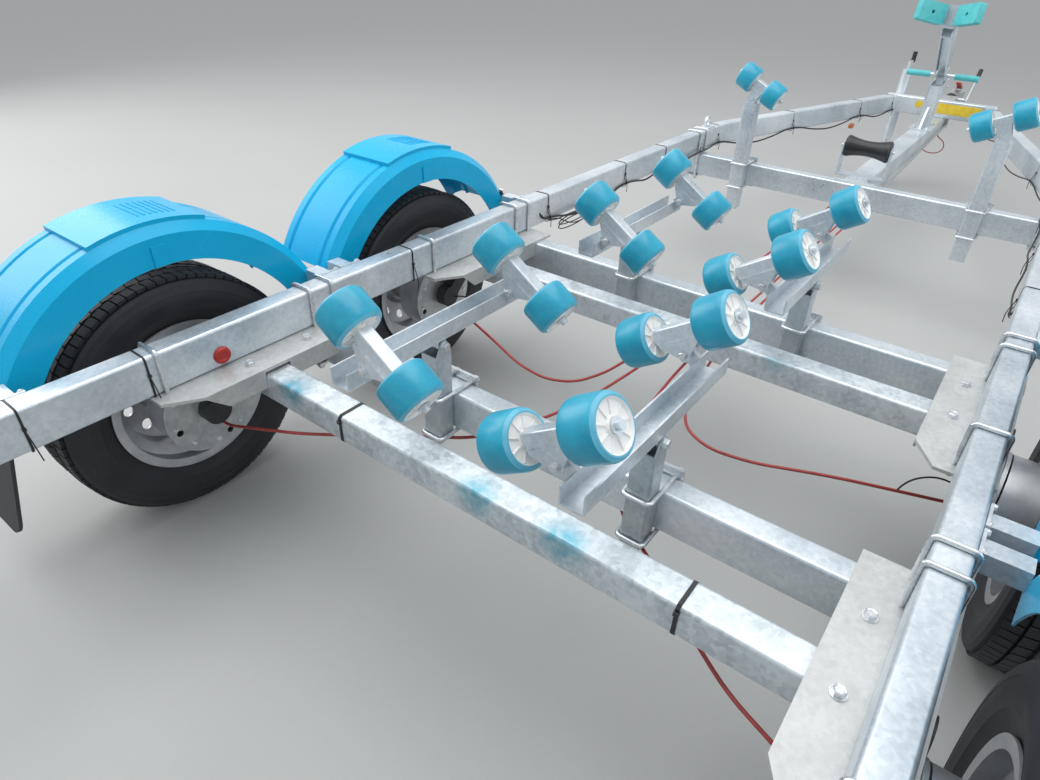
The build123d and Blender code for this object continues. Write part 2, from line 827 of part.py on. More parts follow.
def cradle_arm(beam_x):
    """Rocking channel, open above, with a lug below for its pivot and a tab with a pin at each end."""
    x = beam_x - beam_width / 2 - post_size / 2
    reach = yoke_spread + arm_tail
    z0 = cradle_pivot_z + arm_drop
    z1 = z0 + arm_height
    half = arm_width / 2
    channel = block(x - reach, x + reach, cradle_y - half, cradle_y + half, z0, z1)
    channel = fillet(channel.edges().filter_by(Axis.X).sort_by(Axis.Z)[:2], arm_corner)
    inside = half - arm_wall
    channel -= block(x - reach, x + reach, cradle_y - inside, cradle_y + inside, z0 + arm_wall, z1)
    lug_half = post_size / 2 - post_wall - 2.0
    lug = rod_y(lug_radius, x, cradle_y - lug_half, cradle_y + lug_half, cradle_pivot_z)
    lug += block(x - lug_radius, x + lug_radius, cradle_y - lug_half, cradle_y + lug_half, cradle_pivot_z, z0)
    lug -= rod_y(pin_radius + pin_clearance, x, cradle_y - post_size, cradle_y + post_size, cradle_pivot_z)
    arm = channel + lug
    side = cradle_y - half
    boss_half = yoke_half_gap - 0.5
    pin_half = yoke_half_gap + yoke_sheet + pin_tail
    for sign in (-1, 1):
        xe = x + sign * yoke_spread
        arm += polygon_x([(side + arm_wall / 2, z0 + pin_tail), (side + arm_wall / 2, z1),
                          (side + pin_tail, z1 + pin_radius), (yoke_y + arm_wall, yoke_z + lug_radius),
                          (yoke_y - lug_radius, yoke_z - arm_wall)],
                         xe - tab_thickness / 2, xe + tab_thickness / 2)
        arm += rod_x(lug_radius, xe - boss_half, xe + boss_half, yoke_y, yoke_z)
        arm += rod_x(pin_radius, xe - pin_half, xe + pin_half, yoke_y, yoke_z)
    return arm


def yoke_frame(x, tilt, y, z):
    """Places a piece drawn level about its pivot, with Y along the shaft and Z away from the pivot."""
    return Pos(x, y, z) * Rot(tilt, 0, 0)


def roller_shaft(half_spread, rise):
    """Square tube between two rollers, with the shaft and washers that hold them."""
    tube_end = half_spread - roller_width / 2 - side_play
    tube = RectangleRounded(roller_tube, roller_tube, roller_tube_corner)
    start = Plane(origin=(0, -tube_end, rise), x_dir=(1, 0, 0), z_dir=(0, 1, 0))
    shaft_end = half_spread + roller_width / 2 + side_play
    shaft = start * extrude(tube, 2 * tube_end)
    shaft += rod_y(shaft_radius, 0, -shaft_end - shaft_tail, shaft_end + shaft_tail, rise)
    for sign in (-1, 1):
        shaft += rod_y(washer_radius, 0, sign * shaft_end, sign * (shaft_end + washer_thickness), rise)
    return shaft


def yoke(x):
    """Two hanging sheets under a square tube, with the shaft that carries the rollers."""
    top = yoke_rise - roller_tube / 2 + yoke_sheet
    knee = top - 2 * yoke_sheet
    sheet = polygon_x([(-yoke_half_top, top), (yoke_half_top, top), (yoke_half_top, knee),
                       (yoke_tip, -yoke_tip_drop), (-yoke_tip, -yoke_tip_drop), (-yoke_half_top, knee)],
                      0, yoke_sheet)
    sheet += rod_x(yoke_tip, 0, yoke_sheet, 0, -yoke_tip_drop)
    sheet -= rod_x(pin_radius + pin_clearance, -yoke_sheet, 2 * yoke_sheet, 0, 0)
    piece = Pos(yoke_half_gap, 0, 0) * sheet + Pos(-yoke_half_gap - yoke_sheet, 0, 0) * sheet
    cap_half = yoke_half_gap + yoke_sheet
    piece += block(-cap_half, cap_half, -yoke_half_top, yoke_half_top, top - yoke_sheet, top)
    return yoke_frame(x, yoke_tilt, yoke_y, yoke_z) * (piece + roller_shaft(roller_half_spread, yoke_rise))


def roller(centre, rise):
    """One moulded roller on its shaft: chamfered tread and recessed hub faces."""
    h = roller_width / 2
    r = roller_radius
    c = roller_chamfer
    hub = roller_hub_radius
    face = h - roller_recess
    bore = shaft_radius + shaft_clearance
    half = [(h, bore), (h, roller_boss - 2), (face, roller_boss), (face, hub), (h, hub + 4), (h, r - c),
            (h - c + 3, r - 2), (h - c - 4, r)]
    return Pos(0, centre, rise) * turned_y(half + [(-y, z) for y, z in half[::-1]])


def roller_pair(x):
    """The two rollers of one yoke."""
    pair = roller(-roller_half_spread, yoke_rise) + roller(roller_half_spread, yoke_rise)
    return yoke_frame(x, yoke_tilt, yoke_y, yoke_z) * pair


def bow_post():
    """Upright tube behind the bow beam with its fixed, tilted roller head."""
    x = bow_post_x
    half = bow_post_size / 2
    cap_z = bow_post_top - 4 * bow_cap
    post = hollow_z(x, bow_post_y, bow_post_foot, cap_z, bow_post_size, post_wall, post_wall + 2)
    post += block(x - half, x + half, bow_post_y - half, bow_post_y + half, cap_z, cap_z + bow_cap)
    post += block(x - lug_radius, x + lug_radius, bow_post_y - bow_head_foot, bow_post_y + bow_head_foot,
                  cap_z, bow_post_top + 8)
    top = bow_rise - roller_tube / 2 + yoke_sheet
    sheet = polygon_x([(-bow_head_half, top), (bow_head_half, top), (bow_head_foot, -bow_head_foot),
                       (-bow_head_foot, -bow_head_foot)], lug_radius, lug_radius + yoke_sheet)
    other = Pos(-2 * lug_radius - yoke_sheet, 0, 0) * sheet
    cap_half = lug_radius + yoke_sheet
    head = sheet + other + block(-cap_half, cap_half, -bow_head_half, bow_head_half, top - yoke_sheet, top)
    head += rod_x(pin_radius, -2 * lug_radius, 2 * lug_radius, 0, 0)
    head += roller_shaft(bow_half_spread, bow_rise)
    return post + yoke_frame(x, bow_tilt, bow_post_y, bow_post_top) * head


def bow_rollers():
    """The two rollers on a bow post's head."""
    pair = roller(-bow_half_spread, bow_rise) + roller(bow_half_spread, bow_rise)
    return yoke_frame(bow_post_x, bow_tilt, bow_post_y, bow_post_top) * pair


def drawbar():
    """Central box from the bow beam to the coupling, with its flange and the head beam welded across it."""
    x0 = bow_beam_x + beam_width / 2
    x1 = x0 + drawbar_flange
    mid = drawbar_top - drawbar_size / 2
    bar = hollow_x(x1, drawbar_end, 0, mid, drawbar_size, drawbar_size, drawbar_wall, drawbar_wall + 4)
    bar += block(x0, x1, -drawbar_flange_half, drawbar_flange_half, drawbar_bottom, drawbar_top)
    return bar + hollow_y(head_x, head_beam_length / 2, rail_bottom + rail_height / 2,
                          head_beam_width, rail_height, rail_wall, rail_corner)


def keel_bracket():
    """Bent plate on the drawbar that holds the keel roller's shaft."""
    x = bow_beam_x + keel_from_bow_beam
    side = keel_length / 2 + 4.0
    end = side + keel_sheet
    cheek_top = keel_z + 18.0
    base = block(x - keel_base_half, x + keel_base_half, -end, end, drawbar_top, drawbar_top + keel_sheet)
    cheek = polygon_y([(x - keel_base_half, drawbar_top), (x + keel_base_half, drawbar_top),
                       (x + keel_cheek_half, cheek_top), (x - keel_cheek_half, cheek_top)], side, end)
    shaft = rod_y(shaft_radius, x, -end - pin_tail, end + pin_tail, keel_z)
    return base + cheek + mirrored(cheek) + shaft


def keel_roller():
    """Waisted rubber roller."""
    h = keel_length / 2
    e = keel_end_radius
    edge = 4.0
    rim_end = h - 12.0
    bore = shaft_radius + shaft_clearance
    outline = (
        Polyline((0, -h, bore), (0, -h, e - edge), (0, -h + edge, e), (0, -rim_end, e))
        + ThreePointArc((0, -rim_end, e), (0, 0, keel_waist_radius), (0, rim_end, e))
        + Polyline((0, rim_end, e), (0, h - edge, e), (0, h, e - edge), (0, h, bore), (0, -h, bore))
    )
    body = revolve(make_face(outline), Axis((0, 0, 0), (0, 1, 0)), 360)
    return Pos(bow_beam_x + keel_from_bow_beam, 0, keel_z) * body


def winch_post():
    """Foot plate, upright lower tube, cheeks, leaning upper tube, and the push bar's hanger."""
    half = winch_tube / 2
    sheet = winch_sheet
    base = drawbar_top + sheet
    cheek_low = winch_lower_top - 80.0
    cheek_front_low = winch_lower_top - 40.0
    cheek_front_top = winch_lower_top + 25.0
    foot = block(winch_x - winch_foot_back, winch_x + winch_foot_front, -winch_foot_half, winch_foot_half,
                 drawbar_top, base)
    lower = hollow_z(winch_x, 0, base, winch_lower_top, winch_tube, post_wall, post_wall + 2)
    gusset = polygon_y([(winch_x - winch_gusset, base), (winch_x - half, base),
                        (winch_x - half, base + winch_gusset)], -sheet, sheet)
    front = winch_x + winch_cheek_reach
    cheek = polygon_y([(winch_x - half, cheek_low), (winch_x + half, cheek_low), (front, cheek_front_low),
                       (front, cheek_front_top), (winch_x - half, winch_lower_top)], half, half + sheet)
    bolt = rod_y(pin_radius, winch_upper_x, -half - 2 * pin_tail, half + 2 * pin_tail, winch_upper_z)
    post = foot + lower + gusset + cheek + mirrored(cheek) + bolt + upper_arm()
    x = winch_upper_x - bar_behind_upper
    thick = hanger_sheet / 2
    low = bar_z - bar_hanger
    post += block(x - thick, x + thick, -hanger_half, hanger_half, low, bar_z + bar_radius)
    post += block(x - thick, winch_upper_x + hanger_half, -hanger_half, hanger_half, low, low + hanger_sheet)
    return post + rod_y(bar_radius, x, -bar_half, bar_half, bar_z)


def upper_arm():
    """Leaning tube with a flat plate on each side, a crown, and one bracket for each bow pad."""
    half = winch_upper_tube / 2
    sheet = winch_sheet
    wide = winch_plate_width / 2
    end = winch_upper_length
    collar_low = winch_plate_start - 50.0
    collar_high = winch_plate_start - 20.0
    tube = hollow_z(0, 0, 0, end, winch_upper_tube, post_wall, post_wall + 2)
    plate = block(-wide, wide, half, half + sheet, winch_plate_start, end + winch_plate_over)
    collar = hollow_z(0, 0, collar_low, collar_high, winch_upper_tube + 2 * sheet, sheet, sheet + 2)
    crown = block(-wide, wide, -half - sheet, half + sheet, end, end + sheet)
    arm = tube + plate + mirrored(plate) + collar + crown
    arm = Pos(winch_upper_x, 0, winch_upper_z) * Rot(0, -winch_lean, 0) * arm
    out = pad_width / 2 - pad_plate_margin
    apex = pad_y / cos(radians(pad_angle)) + sheet
    tall = pad_height / 2 - pad_plate_margin
    for sign in (-1, 1):
        arm += pad_place(sign) * block(0, sheet, sign * out, -sign * apex, -tall, tall)
    tip_x = winch_tip_x
    tip_z = winch_tip_z
    tip_back = 45.0
    tip_front = 20.0
    tip_half = half + 14.0
    tip_sheet = 8.0
    arm += block(tip_x - tip_back, tip_x + tip_front, -tip_half, tip_half, tip_z - tip_sheet, tip_z)
    return arm + block(tip_x - tip_back, tip_x - tip_back + tip_sheet, -tip_half, tip_half,
                       tip_z - tip_sheet, pad_z + tall)


def pad_place(sign):
    """Where a bow pad sits: its face looks back and towards the centre line."""
    return Pos(pad_x, sign * pad_y, pad_z) * Rot(0, pad_lean, 0) * Rot(0, 0, sign * pad_angle)


def bow_pad(sign):
    """A thick moulded pad with rounded corners and a sunk bolt hole."""
    pad = fillet(Box(pad_depth, pad_width, pad_height).edges().filter_by(Axis.X), pad_corner)
    pad -= rod_x(pad_hole, -pad_depth, 0, 0, 0)
    return pad_place(sign) * Pos(-pad_depth / 2, 0, 0) * pad


def push_grips():
    """Sleeves on both ends of the push bar."""
    x = winch_upper_x - bar_behind_upper
    cap = 4.0
    start = bar_half - grip_length
    grip = rod_y(grip_radius, x, start, bar_half + cap, bar_z)
    grip -= rod_y(bar_radius, x, start, bar_half, bar_z)
    return both_sides(grip)


def overrun_unit():
    """Cast housing on the drawbar's end, with the draw tube, the lever's pin and the brake's drop arm."""
    x0 = housing_back
    x1 = housing_front
    crown = coupling_z + 44.0
    housing = polygon_y([(x0, drawbar_top), (x1, drawbar_top), (x1, coupling_z + 36), (x1 - 30, crown),
                         (x0 + 60, coupling_z + 30), (x0, drawbar_top + 24)], -housing_half, housing_half)
    tube = rod_x(draw_tube_radius, x1, nose_x - head_reach + 10, 0, coupling_z)
    pin = rod_y(lever_pin, lever_x, -lever_y - lever_sheet, -housing_half, lever_z)
    boss = rod_y(2 * lever_pin, lever_x, -lever_y + lever_sheet, -housing_half, lever_z)
    inner = drawbar_size / 2 + 2.0
    drop = block(drop_arm_x - drop_arm_half, drop_arm_x + drop_arm_half, -inner - drop_arm_sheet, -inner,
                 brake_rod_front_z - drop_arm_half, drawbar_top + drop_arm_half)
    bore = brake_rod_radius + pin_clearance
    drop -= brake_rod_place() * rod_z(bore, 0, 0, 0, brake_rod_length() + drop_arm_half)
    return housing + tube + pin + boss + drop


def brake_rod_length():
    """Length of the brake rod from the equaliser to the front of the drop arm."""
    run = drop_arm_x + drop_arm_half + rod_tip - equaliser_x
    return hypot(run, brake_rod_front_z - brake_rod_rear_z)


def brake_rod_place():
    """The rod's own frame: it starts in the equaliser and runs forward, rising a little."""
    run = drop_arm_x - equaliser_x
    rise = brake_rod_front_z - brake_rod_rear_z
    start = (equaliser_x + equaliser_thickness / 2, -brake_rod_y, brake_rod_rear_z)
    return Plane(origin=start, z_dir=(run, 0, rise)).location


def brake_rod():
    """Steel rod beside the drawbar, from the overrun unit's drop arm to the equaliser of the cables."""
    rod = brake_rod_place() * rod_z(brake_rod_radius, 0, 0, 0, brake_rod_length())
    low = drawbar_bottom - cable_drop - equaliser_height / 2
    return rod + block(equaliser_x, equaliser_x + equaliser_thickness, -equaliser_half, equaliser_half,
                       low, low + equaliser_height)


def bellows():
    """Folded rubber sleeve over the draw tube."""
    gap = 1.0
    x0 = housing_front + gap
    inner = draw_tube_radius + fit_gap
    top = []
    for i in range(bellows_folds):
        top.append((x0 + i * fold_pitch, fold_low))
        top.append((x0 + (i + 0.5) * fold_pitch, fold_high))
    top.append((x0 + bellows_folds * fold_pitch, fold_low))
    loop = [(x, 0, r) for x, r in [(top[0][0], inner)] + top + [(top[-1][0], inner)]]
    body = revolve(make_face(Polyline(*loop, close=True)), Axis((0, 0, 0), (1, 0, 0)), 360)
    return Pos(0, 0, coupling_z) * body


def coupling_head():
    """Pressed head with a ball socket open downwards, and two ears for its latch."""
    x = ball_x
    back = nose_x - head_reach
    waist = x - 30.0
    low = coupling_z - head_below
    high = coupling_z + head_above
    cheek = socket_from_nose - 22.0
    nose_radius = 14.0
    shell = polygon_z([(back, -head_half), (waist, -head_half), (x, -cheek), (x, cheek), (waist, head_half),
                       (back, head_half)], low, high)
    shell += rod_z(head_ball_radius, x, 0, low, high)
    shell += rod_x(nose_radius, x + nose_radius, nose_x, 0, coupling_z + 4)
    shell -= rod_x(draw_tube_radius + fit_gap, back - fit_gap, back + 11, 0, coupling_z)
    socket = ball_radius + ball_clearance
    shell -= rod_z(socket, x, 0, low - 10, coupling_z)
    shell -= Pos(x, 0, coupling_z) * Sphere(socket)
    y0 = latch_half + 1.0
    for sign in (-1, 1):
        shell += block(x - nose_radius, x + nose_radius, sign * y0, sign * (y0 + latch_ear),
                       high, latch_z + 10)
    return shell + rod_y(latch_pin, x, -y0 - latch_ear - 3, y0 + latch_ear + 3, latch_z)


def coupling_latch():
    """Handle hinged on top of the coupling head."""
    x = ball_x
    z = latch_z
    end = x - latch_length
    bend = x - 98.0
    raised = z + 44.0
    handle = polygon_y([(x - 4, z - latch_boss + 1), (x + 2, z + latch_boss - 1), (bend, raised),
                        (end, raised), (end, raised - 10), (bend - 4, raised - 12)], -latch_half, latch_half)
    handle += rod_y(latch_boss, x, -latch_half, latch_half, z)
    return handle - rod_y(latch_pin + pin_clearance, x, -2 * latch_half, 2 * latch_half, z)


def handbrake_lever():
    """Flat lever with a round grip, on a pin at the housing's right side."""
    half = lever_sheet / 2
    lever = block(-lever_half_width, lever_half_width, -half, half, -2 * lever_pin, lever_shank)
    lever += rod_z(lever_grip_radius, 0, 0, lever_shank, lever_shank + lever_grip)
    lever -= rod_y(lever_pin + pin_clearance, 0, -lever_sheet, lever_sheet, 0)
    return Pos(lever_x, -lever_y - half, lever_z) * Rot(0, lever_lean, 0) * lever


def jockey_tube():
    """Bracket on the head beam with the outer tube of the jockey wheel clamped in it, and its crank."""
    x = jockey_x
    y = jockey_y
    hole = jockey_inner_radius + 3.0
    cap = 8.0
    outer = rod_z(jockey_outer_radius, x, y, jockey_outer_foot, jockey_top)
    outer -= rod_z(jockey_inner_radius + jockey_gap, x, y, jockey_outer_foot - cap, jockey_top - cap)
    collar_radius = jockey_outer_radius + jockey_collar
    collar = rod_z(collar_radius, x, y, rail_bottom + jockey_margin, rail_top - jockey_margin)
    pad = block(head_front, x, y - jockey_pad_half, y + jockey_pad_half,
                rail_bottom + jockey_stand_off, rail_top - jockey_stand_off)
    bracket = collar + pad - rod_z(hole, x, y, rail_bottom, rail_top)
    crank_z = jockey_top + crank_rise
    spindle = rod_z(jockey_axle, x, y, jockey_top, crank_z + 4)
    crank = rod_x(crank_radius, x - 6, x + crank_reach, y, crank_z)
    knob = rod_z(knob_radius, x + crank_reach - 2, y, crank_z - 6, crank_z - 6 + knob_height)
    return outer + bracket + spindle + crank + knob


def jockey_leg():
    """Sliding inner tube, with the pin that the fork turns on below it."""
    gap = 1.0
    head_room = 150.0
    tube = rod_z(jockey_inner_radius, jockey_x, jockey_y, fork_top + gap, jockey_top - head_room)
    return tube + rod_z(jockey_axle, jockey_x, jockey_y, fork_top - 16, fork_top + gap)


def jockey_fork():
    """Swivelling fork with the wheel's axle, set back behind the leg."""
    x = jockey_x
    y = jockey_y
    axle_x = x - jockey_trail
    sheet = jockey_fork_sheet
    inner = jockey_wheel_width / 2 + jockey_side_gap
    crown_half = 24.0
    foot_half = 18.0
    foot = jockey_wheel_radius - foot_half
    crown_sheet = 8.0
    crown = block(axle_x - crown_half, x + crown_half, y - inner - sheet, y + inner + sheet,
                  fork_top - crown_sheet, fork_top)
    blade = polygon_y([(axle_x - crown_half, fork_top), (x + crown_half, fork_top),
                       (axle_x + foot_half, foot), (axle_x - foot_half, foot)], y + inner, y + inner + sheet)
    other = Pos(0, -2 * inner - sheet, 0) * blade
    axle = rod_y(jockey_axle, axle_x, y - inner - 12, y + inner + 12, jockey_wheel_radius)
    bore = rod_z(jockey_axle + pin_clearance, x, y, fork_top - 20, fork_top + 1)
    return crown + blade + other + axle - bore


def jockey_wheel():
    """Solid wheel with a rounded tread and dished faces."""
    h = jockey_wheel_width / 2
    r = jockey_wheel_radius
    face = h - 10.0
    bore = jockey_axle + pin_clearance
    half = [(h, bore), (h, 24), (face, 30), (face, r - 40), (h, r - 34), (h, r - 12), (h - 6, r - 3),
            (h - 16, r)]
    wheel = turned_y(half + [(-y, z) for y, z in half[::-1]])
    return Pos(jockey_x - jockey_trail, jockey_y, r) * wheel


def light_board():
    """Board across the rails' rear ends."""
    x0 = rear_x + lamp_depth
    half = board_height / 2
    return block(x0, x0 + board_thickness, -board_half, board_half, board_z - half, board_z + half)


def rear_lamp():
    """Lamp block on the board's left end."""
    y = board_half - lamp_width / 2 - lamp_margin
    lamp = Box(lamp_depth, lamp_width, lamp_height)
    lamp = fillet(lamp.edges().filter_by(Axis.X), lamp_corner)
    return Pos(rear_x + lamp_depth / 2, y, board_z) * lamp


def cable_route(hub, table):
    """Points of a left cable: its table's bends, then small waves under the drawbar to the equaliser."""
    points = [(hub + ahead, out, z) for ahead, out, z in table]
    last_x, last_y, last_z = points[-1]
    low = drawbar_bottom - cable_drop
    end = equaliser_x - cable_lead
    for i in range(1, cable_stretches + 1):
        x = last_x + (end - last_x) * i / cable_stretches
        wave = cable_sag if i % 2 else -cable_sag
        points.append((x, last_y - cable_sag + wave, low + wave))
    return points + [(equaliser_x, points[-1][1], points[-1][2])]


def cable(points):
    """A round cable along straight runs joined by arcs as large as the runs allow."""
    share = 0.45
    vectors = [Vector(*p) for p in points]
    radii = []
    for a, b, c in zip(vectors, vectors[1:], vectors[2:]):
        turn = (b - a).get_angle(c - b)
        radii.append(share * min((b - a).length, (c - b).length) / tan(radians(turn) / 2))
    path = FilletPolyline(*points, radius=radii)
    start = Plane(origin=points[0], z_dir=vectors[1] - vectors[0])
    return sweep(start * Circle(cable_radius), path)


def save_running_gear():
    """Wheels, axles, brackets, guards and brake cables."""
    save("axle_tubes", [axle_tube_solid(hub) for hub in hubs])
    save("axle_brackets", [s for hub in hubs for s in both_sides(axle_bracket(hub))])
    save("swing_arms", [s for hub in hubs for s in both_sides(swing_arm(hub))])
    save("brake_backplates", [s for hub in hubs for s in both_sides(backplate(hub))])
    rear_guard = mudguard(hub_rear) + flap_strap()
    save("mudguards", both_sides(rear_guard) + both_sides(mudguard(hub_front)))
    save("mudflaps", both_sides(mudflap()))
    stays = [guard_stay(hub + sign * stay_from_hub) for hub in hubs for sign in (-1, 1)]
    save("mudguard_stays", [s for stay in stays for s in both_sides(stay)])
    rear_cable = cable(cable_route(hub_rear, rear_cable_table))
    front_cable = cable(cable_route(hub_front, front_cable_table))
    save("brake_cables", both_sides(rear_cable) + both_sides(front_cable))
    for end, hub in ends:
        for side, sign in sides:
            flip = mirrored if sign < 0 else (lambda shape: shape)
            save("tyre_" + end + "_" + side, [flip(tyre(hub))])
            save("rim_" + end + "_" + side, [flip(rim(hub))])


def save_clamps():
    """Every U-bolt with its bar: on the brackets, the end beams and the posts."""
    clamps = []
    for hub in hubs:
        for x, bar_top in rail_bolt_table(hub):
            clamps += both_sides(rail_clamp(x, bar_top))
    off = beam_width / 2 + rod_radius + fit_gap
    for name, x, top in end_beams:
        for sign in (-1, 1):
            clamps += both_sides(rail_clamp(x + sign * off, top - beam_height))
    for name, x, top in axle_beams:
        clamps += post_clamps(x, top, cradle_y, post_size)
    clamps += post_clamps(bow_beam_x, rail_bottom, bow_post_y, bow_post_size)
    save("u_bolts", clamps)


def save_cradles():
    """The four rocking cradles with their yokes and rollers, and the fixed rollers of the bow posts."""
    save("cradle_posts", [s for name, x, top in axle_beams for s in both_sides(cradle_post(x))])
    save("bow_posts", both_sides(bow_post()))
    for side, sign in sides:
        flip = mirrored if sign < 0 else (lambda shape: shape)
        save("bow_rollers_" + side, [flip(bow_rollers())])
        for name, beam_x, top in axle_beams:
            x = beam_x - beam_width / 2 - post_size / 2
            label = name + "_" + side
            save("cradle_arm_" + label, [flip(cradle_arm(beam_x))])
            for end, shift in (("aft", -yoke_spread), ("fore", yoke_spread)):
                save("yoke_" + label + "_" + end, [flip(yoke(x + shift))])
                save("rollers_" + label + "_" + end, [flip(roller_pair(x + shift))])


def save_nose():
    """Drawbar, winch post, coupling, handbrake and jockey wheel."""
    save("drawbar", [drawbar()])
    save("keel_bracket", [keel_bracket()])
    save("keel_roller", [keel_roller()])
    save("winch_post", [winch_post()])
    save("bow_pads", [bow_pad(1), bow_pad(-1)])
    save("push_grips", push_grips())
    save("overrun_unit", [overrun_unit(), brake_rod()])
    save("bellows", [bellows()])
    save("coupling_head", [coupling_head()])
    save("coupling_latch", [coupling_latch()])
    save("handbrake_lever", [handbrake_lever()])
    save("jockey_tube", [jockey_tube()])
    save("jockey_leg", [jockey_leg()])
    save("jockey_fork", [jockey_fork()])
    save("jockey_wheel", [jockey_wheel()])


def main():
    os.makedirs("parts", exist_ok=True)
    save("main_rails", both_sides(main_rail() + tie_down_eye()))
    save("cross_beams", [cross_beam(x, top) for name, x, top in beam_table])
    save_running_gear()
    save_clamps()
    save_cradles()
    save_nose()
    save("light_board", [light_board()])
    save("rear_lamps", both_sides(rear_lamp()))


main()
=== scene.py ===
# %% [markdown]
# # A boat trailer, dressed for its portrait
# The frame is the exact CAD model. This notebook never moves it: it only paints its parts, swaps the
# tyres for finer meshes that fill the same space, and adds the small hardware that CAD leaves out.
# Everything is in metres: +X is forward, +Y is left, +Z is up, and the floor is z = 0.

# %% Load the frame
import json
from math import cos, pi, radians, sin, sqrt

import bmesh
import bpy
from mathutils import Matrix, Vector


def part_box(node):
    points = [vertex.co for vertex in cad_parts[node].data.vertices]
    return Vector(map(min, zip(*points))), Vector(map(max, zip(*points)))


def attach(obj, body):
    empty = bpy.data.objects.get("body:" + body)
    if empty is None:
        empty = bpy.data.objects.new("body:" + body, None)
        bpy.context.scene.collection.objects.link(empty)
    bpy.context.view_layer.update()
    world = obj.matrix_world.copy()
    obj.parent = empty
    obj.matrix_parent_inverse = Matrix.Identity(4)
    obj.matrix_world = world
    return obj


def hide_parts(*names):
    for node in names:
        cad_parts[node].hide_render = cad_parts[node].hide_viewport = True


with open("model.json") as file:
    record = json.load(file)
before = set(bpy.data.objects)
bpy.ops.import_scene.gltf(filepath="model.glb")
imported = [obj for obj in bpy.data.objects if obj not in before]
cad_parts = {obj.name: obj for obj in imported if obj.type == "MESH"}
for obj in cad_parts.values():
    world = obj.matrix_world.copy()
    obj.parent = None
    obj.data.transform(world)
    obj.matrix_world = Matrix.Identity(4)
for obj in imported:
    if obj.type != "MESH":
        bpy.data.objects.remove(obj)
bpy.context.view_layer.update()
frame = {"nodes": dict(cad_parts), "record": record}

# %% [markdown]
# ## Reading places from the frame
# A finishing script that repeats numbers by hand soon drifts from its model.

# %% Places measured on the frame
# Each side has the sign of its Y, which the loops below call k.
sides = {"left": 1, "right": -1}
ends = ("rear", "front")


def middle(node):
    """The middle of a node's box."""
    low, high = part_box(node)
    return (Vector(low) + Vector(high)) / 2


def size(node):
    """The size of a node's box."""
    low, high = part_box(node)
    return Vector(high) - Vector(low)


hub = {(end, side): middle(f"tyre_{end}_{side}") for end in ends for side in sides}
tyre_radius = size("tyre_rear_left").z / 2
tyre_width = size("tyre_rear_left").y
rail_width = 0.060
rail_height = 0.100
rail_bottom = 0.475
rail_top = rail_bottom + rail_height
rail_outer = Vector(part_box("main_rails")[1]).y
rail_inner = rail_outer - rail_width
print("rails", round(rail_inner, 3), "to", round(rail_outer, 3), "tyre radius", round(tyre_radius, 3))

# %% [markdown]
# ## Small mesh helpers
# `bmesh` is Blender's hand tool for meshes: we put vertices and faces in, and get a clean object out.
# Each helper makes one kind of form, and every finished object stays at the origin with its place in
# its vertices, so a pattern on Object coordinates never slides.

# %% Finish a mesh
crease = radians(32.0)
weld = 0.00001


def settle(bm, name, material, body):
    """Turns a bmesh into an object on a body, soft across gentle edges and sharp across hard ones."""
    for face in bm.faces:
        face.smooth = True
    for edge in bm.edges:
        edge.smooth = len(edge.link_faces) == 2 and edge.calc_face_angle(pi) <= crease
    mesh = bpy.data.meshes.new(name)
    bm.to_mesh(mesh)
    bm.free()
    mesh.materials.append(material)
    obj = bpy.data.objects.new(name, mesh)
    bpy.context.scene.collection.objects.link(obj)
    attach(obj, body)
    return obj


def finish_mesh(bm, name, material, body):
    """Merges the doubles of a drawn mesh, faces it outwards and settles it on a body."""
    bmesh.ops.remove_doubles(bm, verts=bm.verts, dist=weld)
    bmesh.ops.recalc_face_normals(bm, faces=bm.faces)
    return settle(bm, name, material, body)


print("creases past", round(crease, 3), "rad stay sharp")


# %% Turned and boxed forms
def lathe(bm, outline, centre, axis, segments):
    """Turns a closed outline of (along, radius) points about an axis through centre."""
    axis = Vector(axis).normalized()
    aside = axis.orthogonal().normalized()
    up = axis.cross(aside)
    rings = []
    for i in range(segments):
        turn = 2 * pi * i / segments
        spoke = aside * cos(turn) + up * sin(turn)
        rings.append([bm.verts.new(Vector(centre) + axis * a + spoke * r) for a, r in outline])
    count = len(outline)
    for i in range(segments):
        here, there = rings[i], rings[(i + 1) % segments]
        for j in range(count):
            after = (j + 1) % count
            corners = [here[j], here[after], there[after], there[j]]
            # Where the outline meets the axis, a face with under three places has no area.
            if len({tuple(round(c, 6) for c in v.co) for v in corners}) > 2:
                bm.faces.new(corners)


def brick(bm, low, high, place=None, bevel=0.0):
    """A box between two corners, set in place by a matrix, with its edges taken off."""
    made = bmesh.ops.create_cube(bm, size=1.0)["verts"]
    low, high = Vector(low), Vector(high)
    for v in made:
        v.co = Vector([low[i] + (v.co[i] + 0.5) * (high[i] - low[i]) for i in range(3)])
    if place is not None:
        bmesh.ops.transform(bm, matrix=place, verts=made)
    if bevel:
        edges = list(dict.fromkeys(edge for v in made for edge in v.link_edges))
        bmesh.ops.bevel(bm, geom=edges, offset=bevel, segments=2, profile=0.7, affect="EDGES")


print("turned and boxed forms ready")


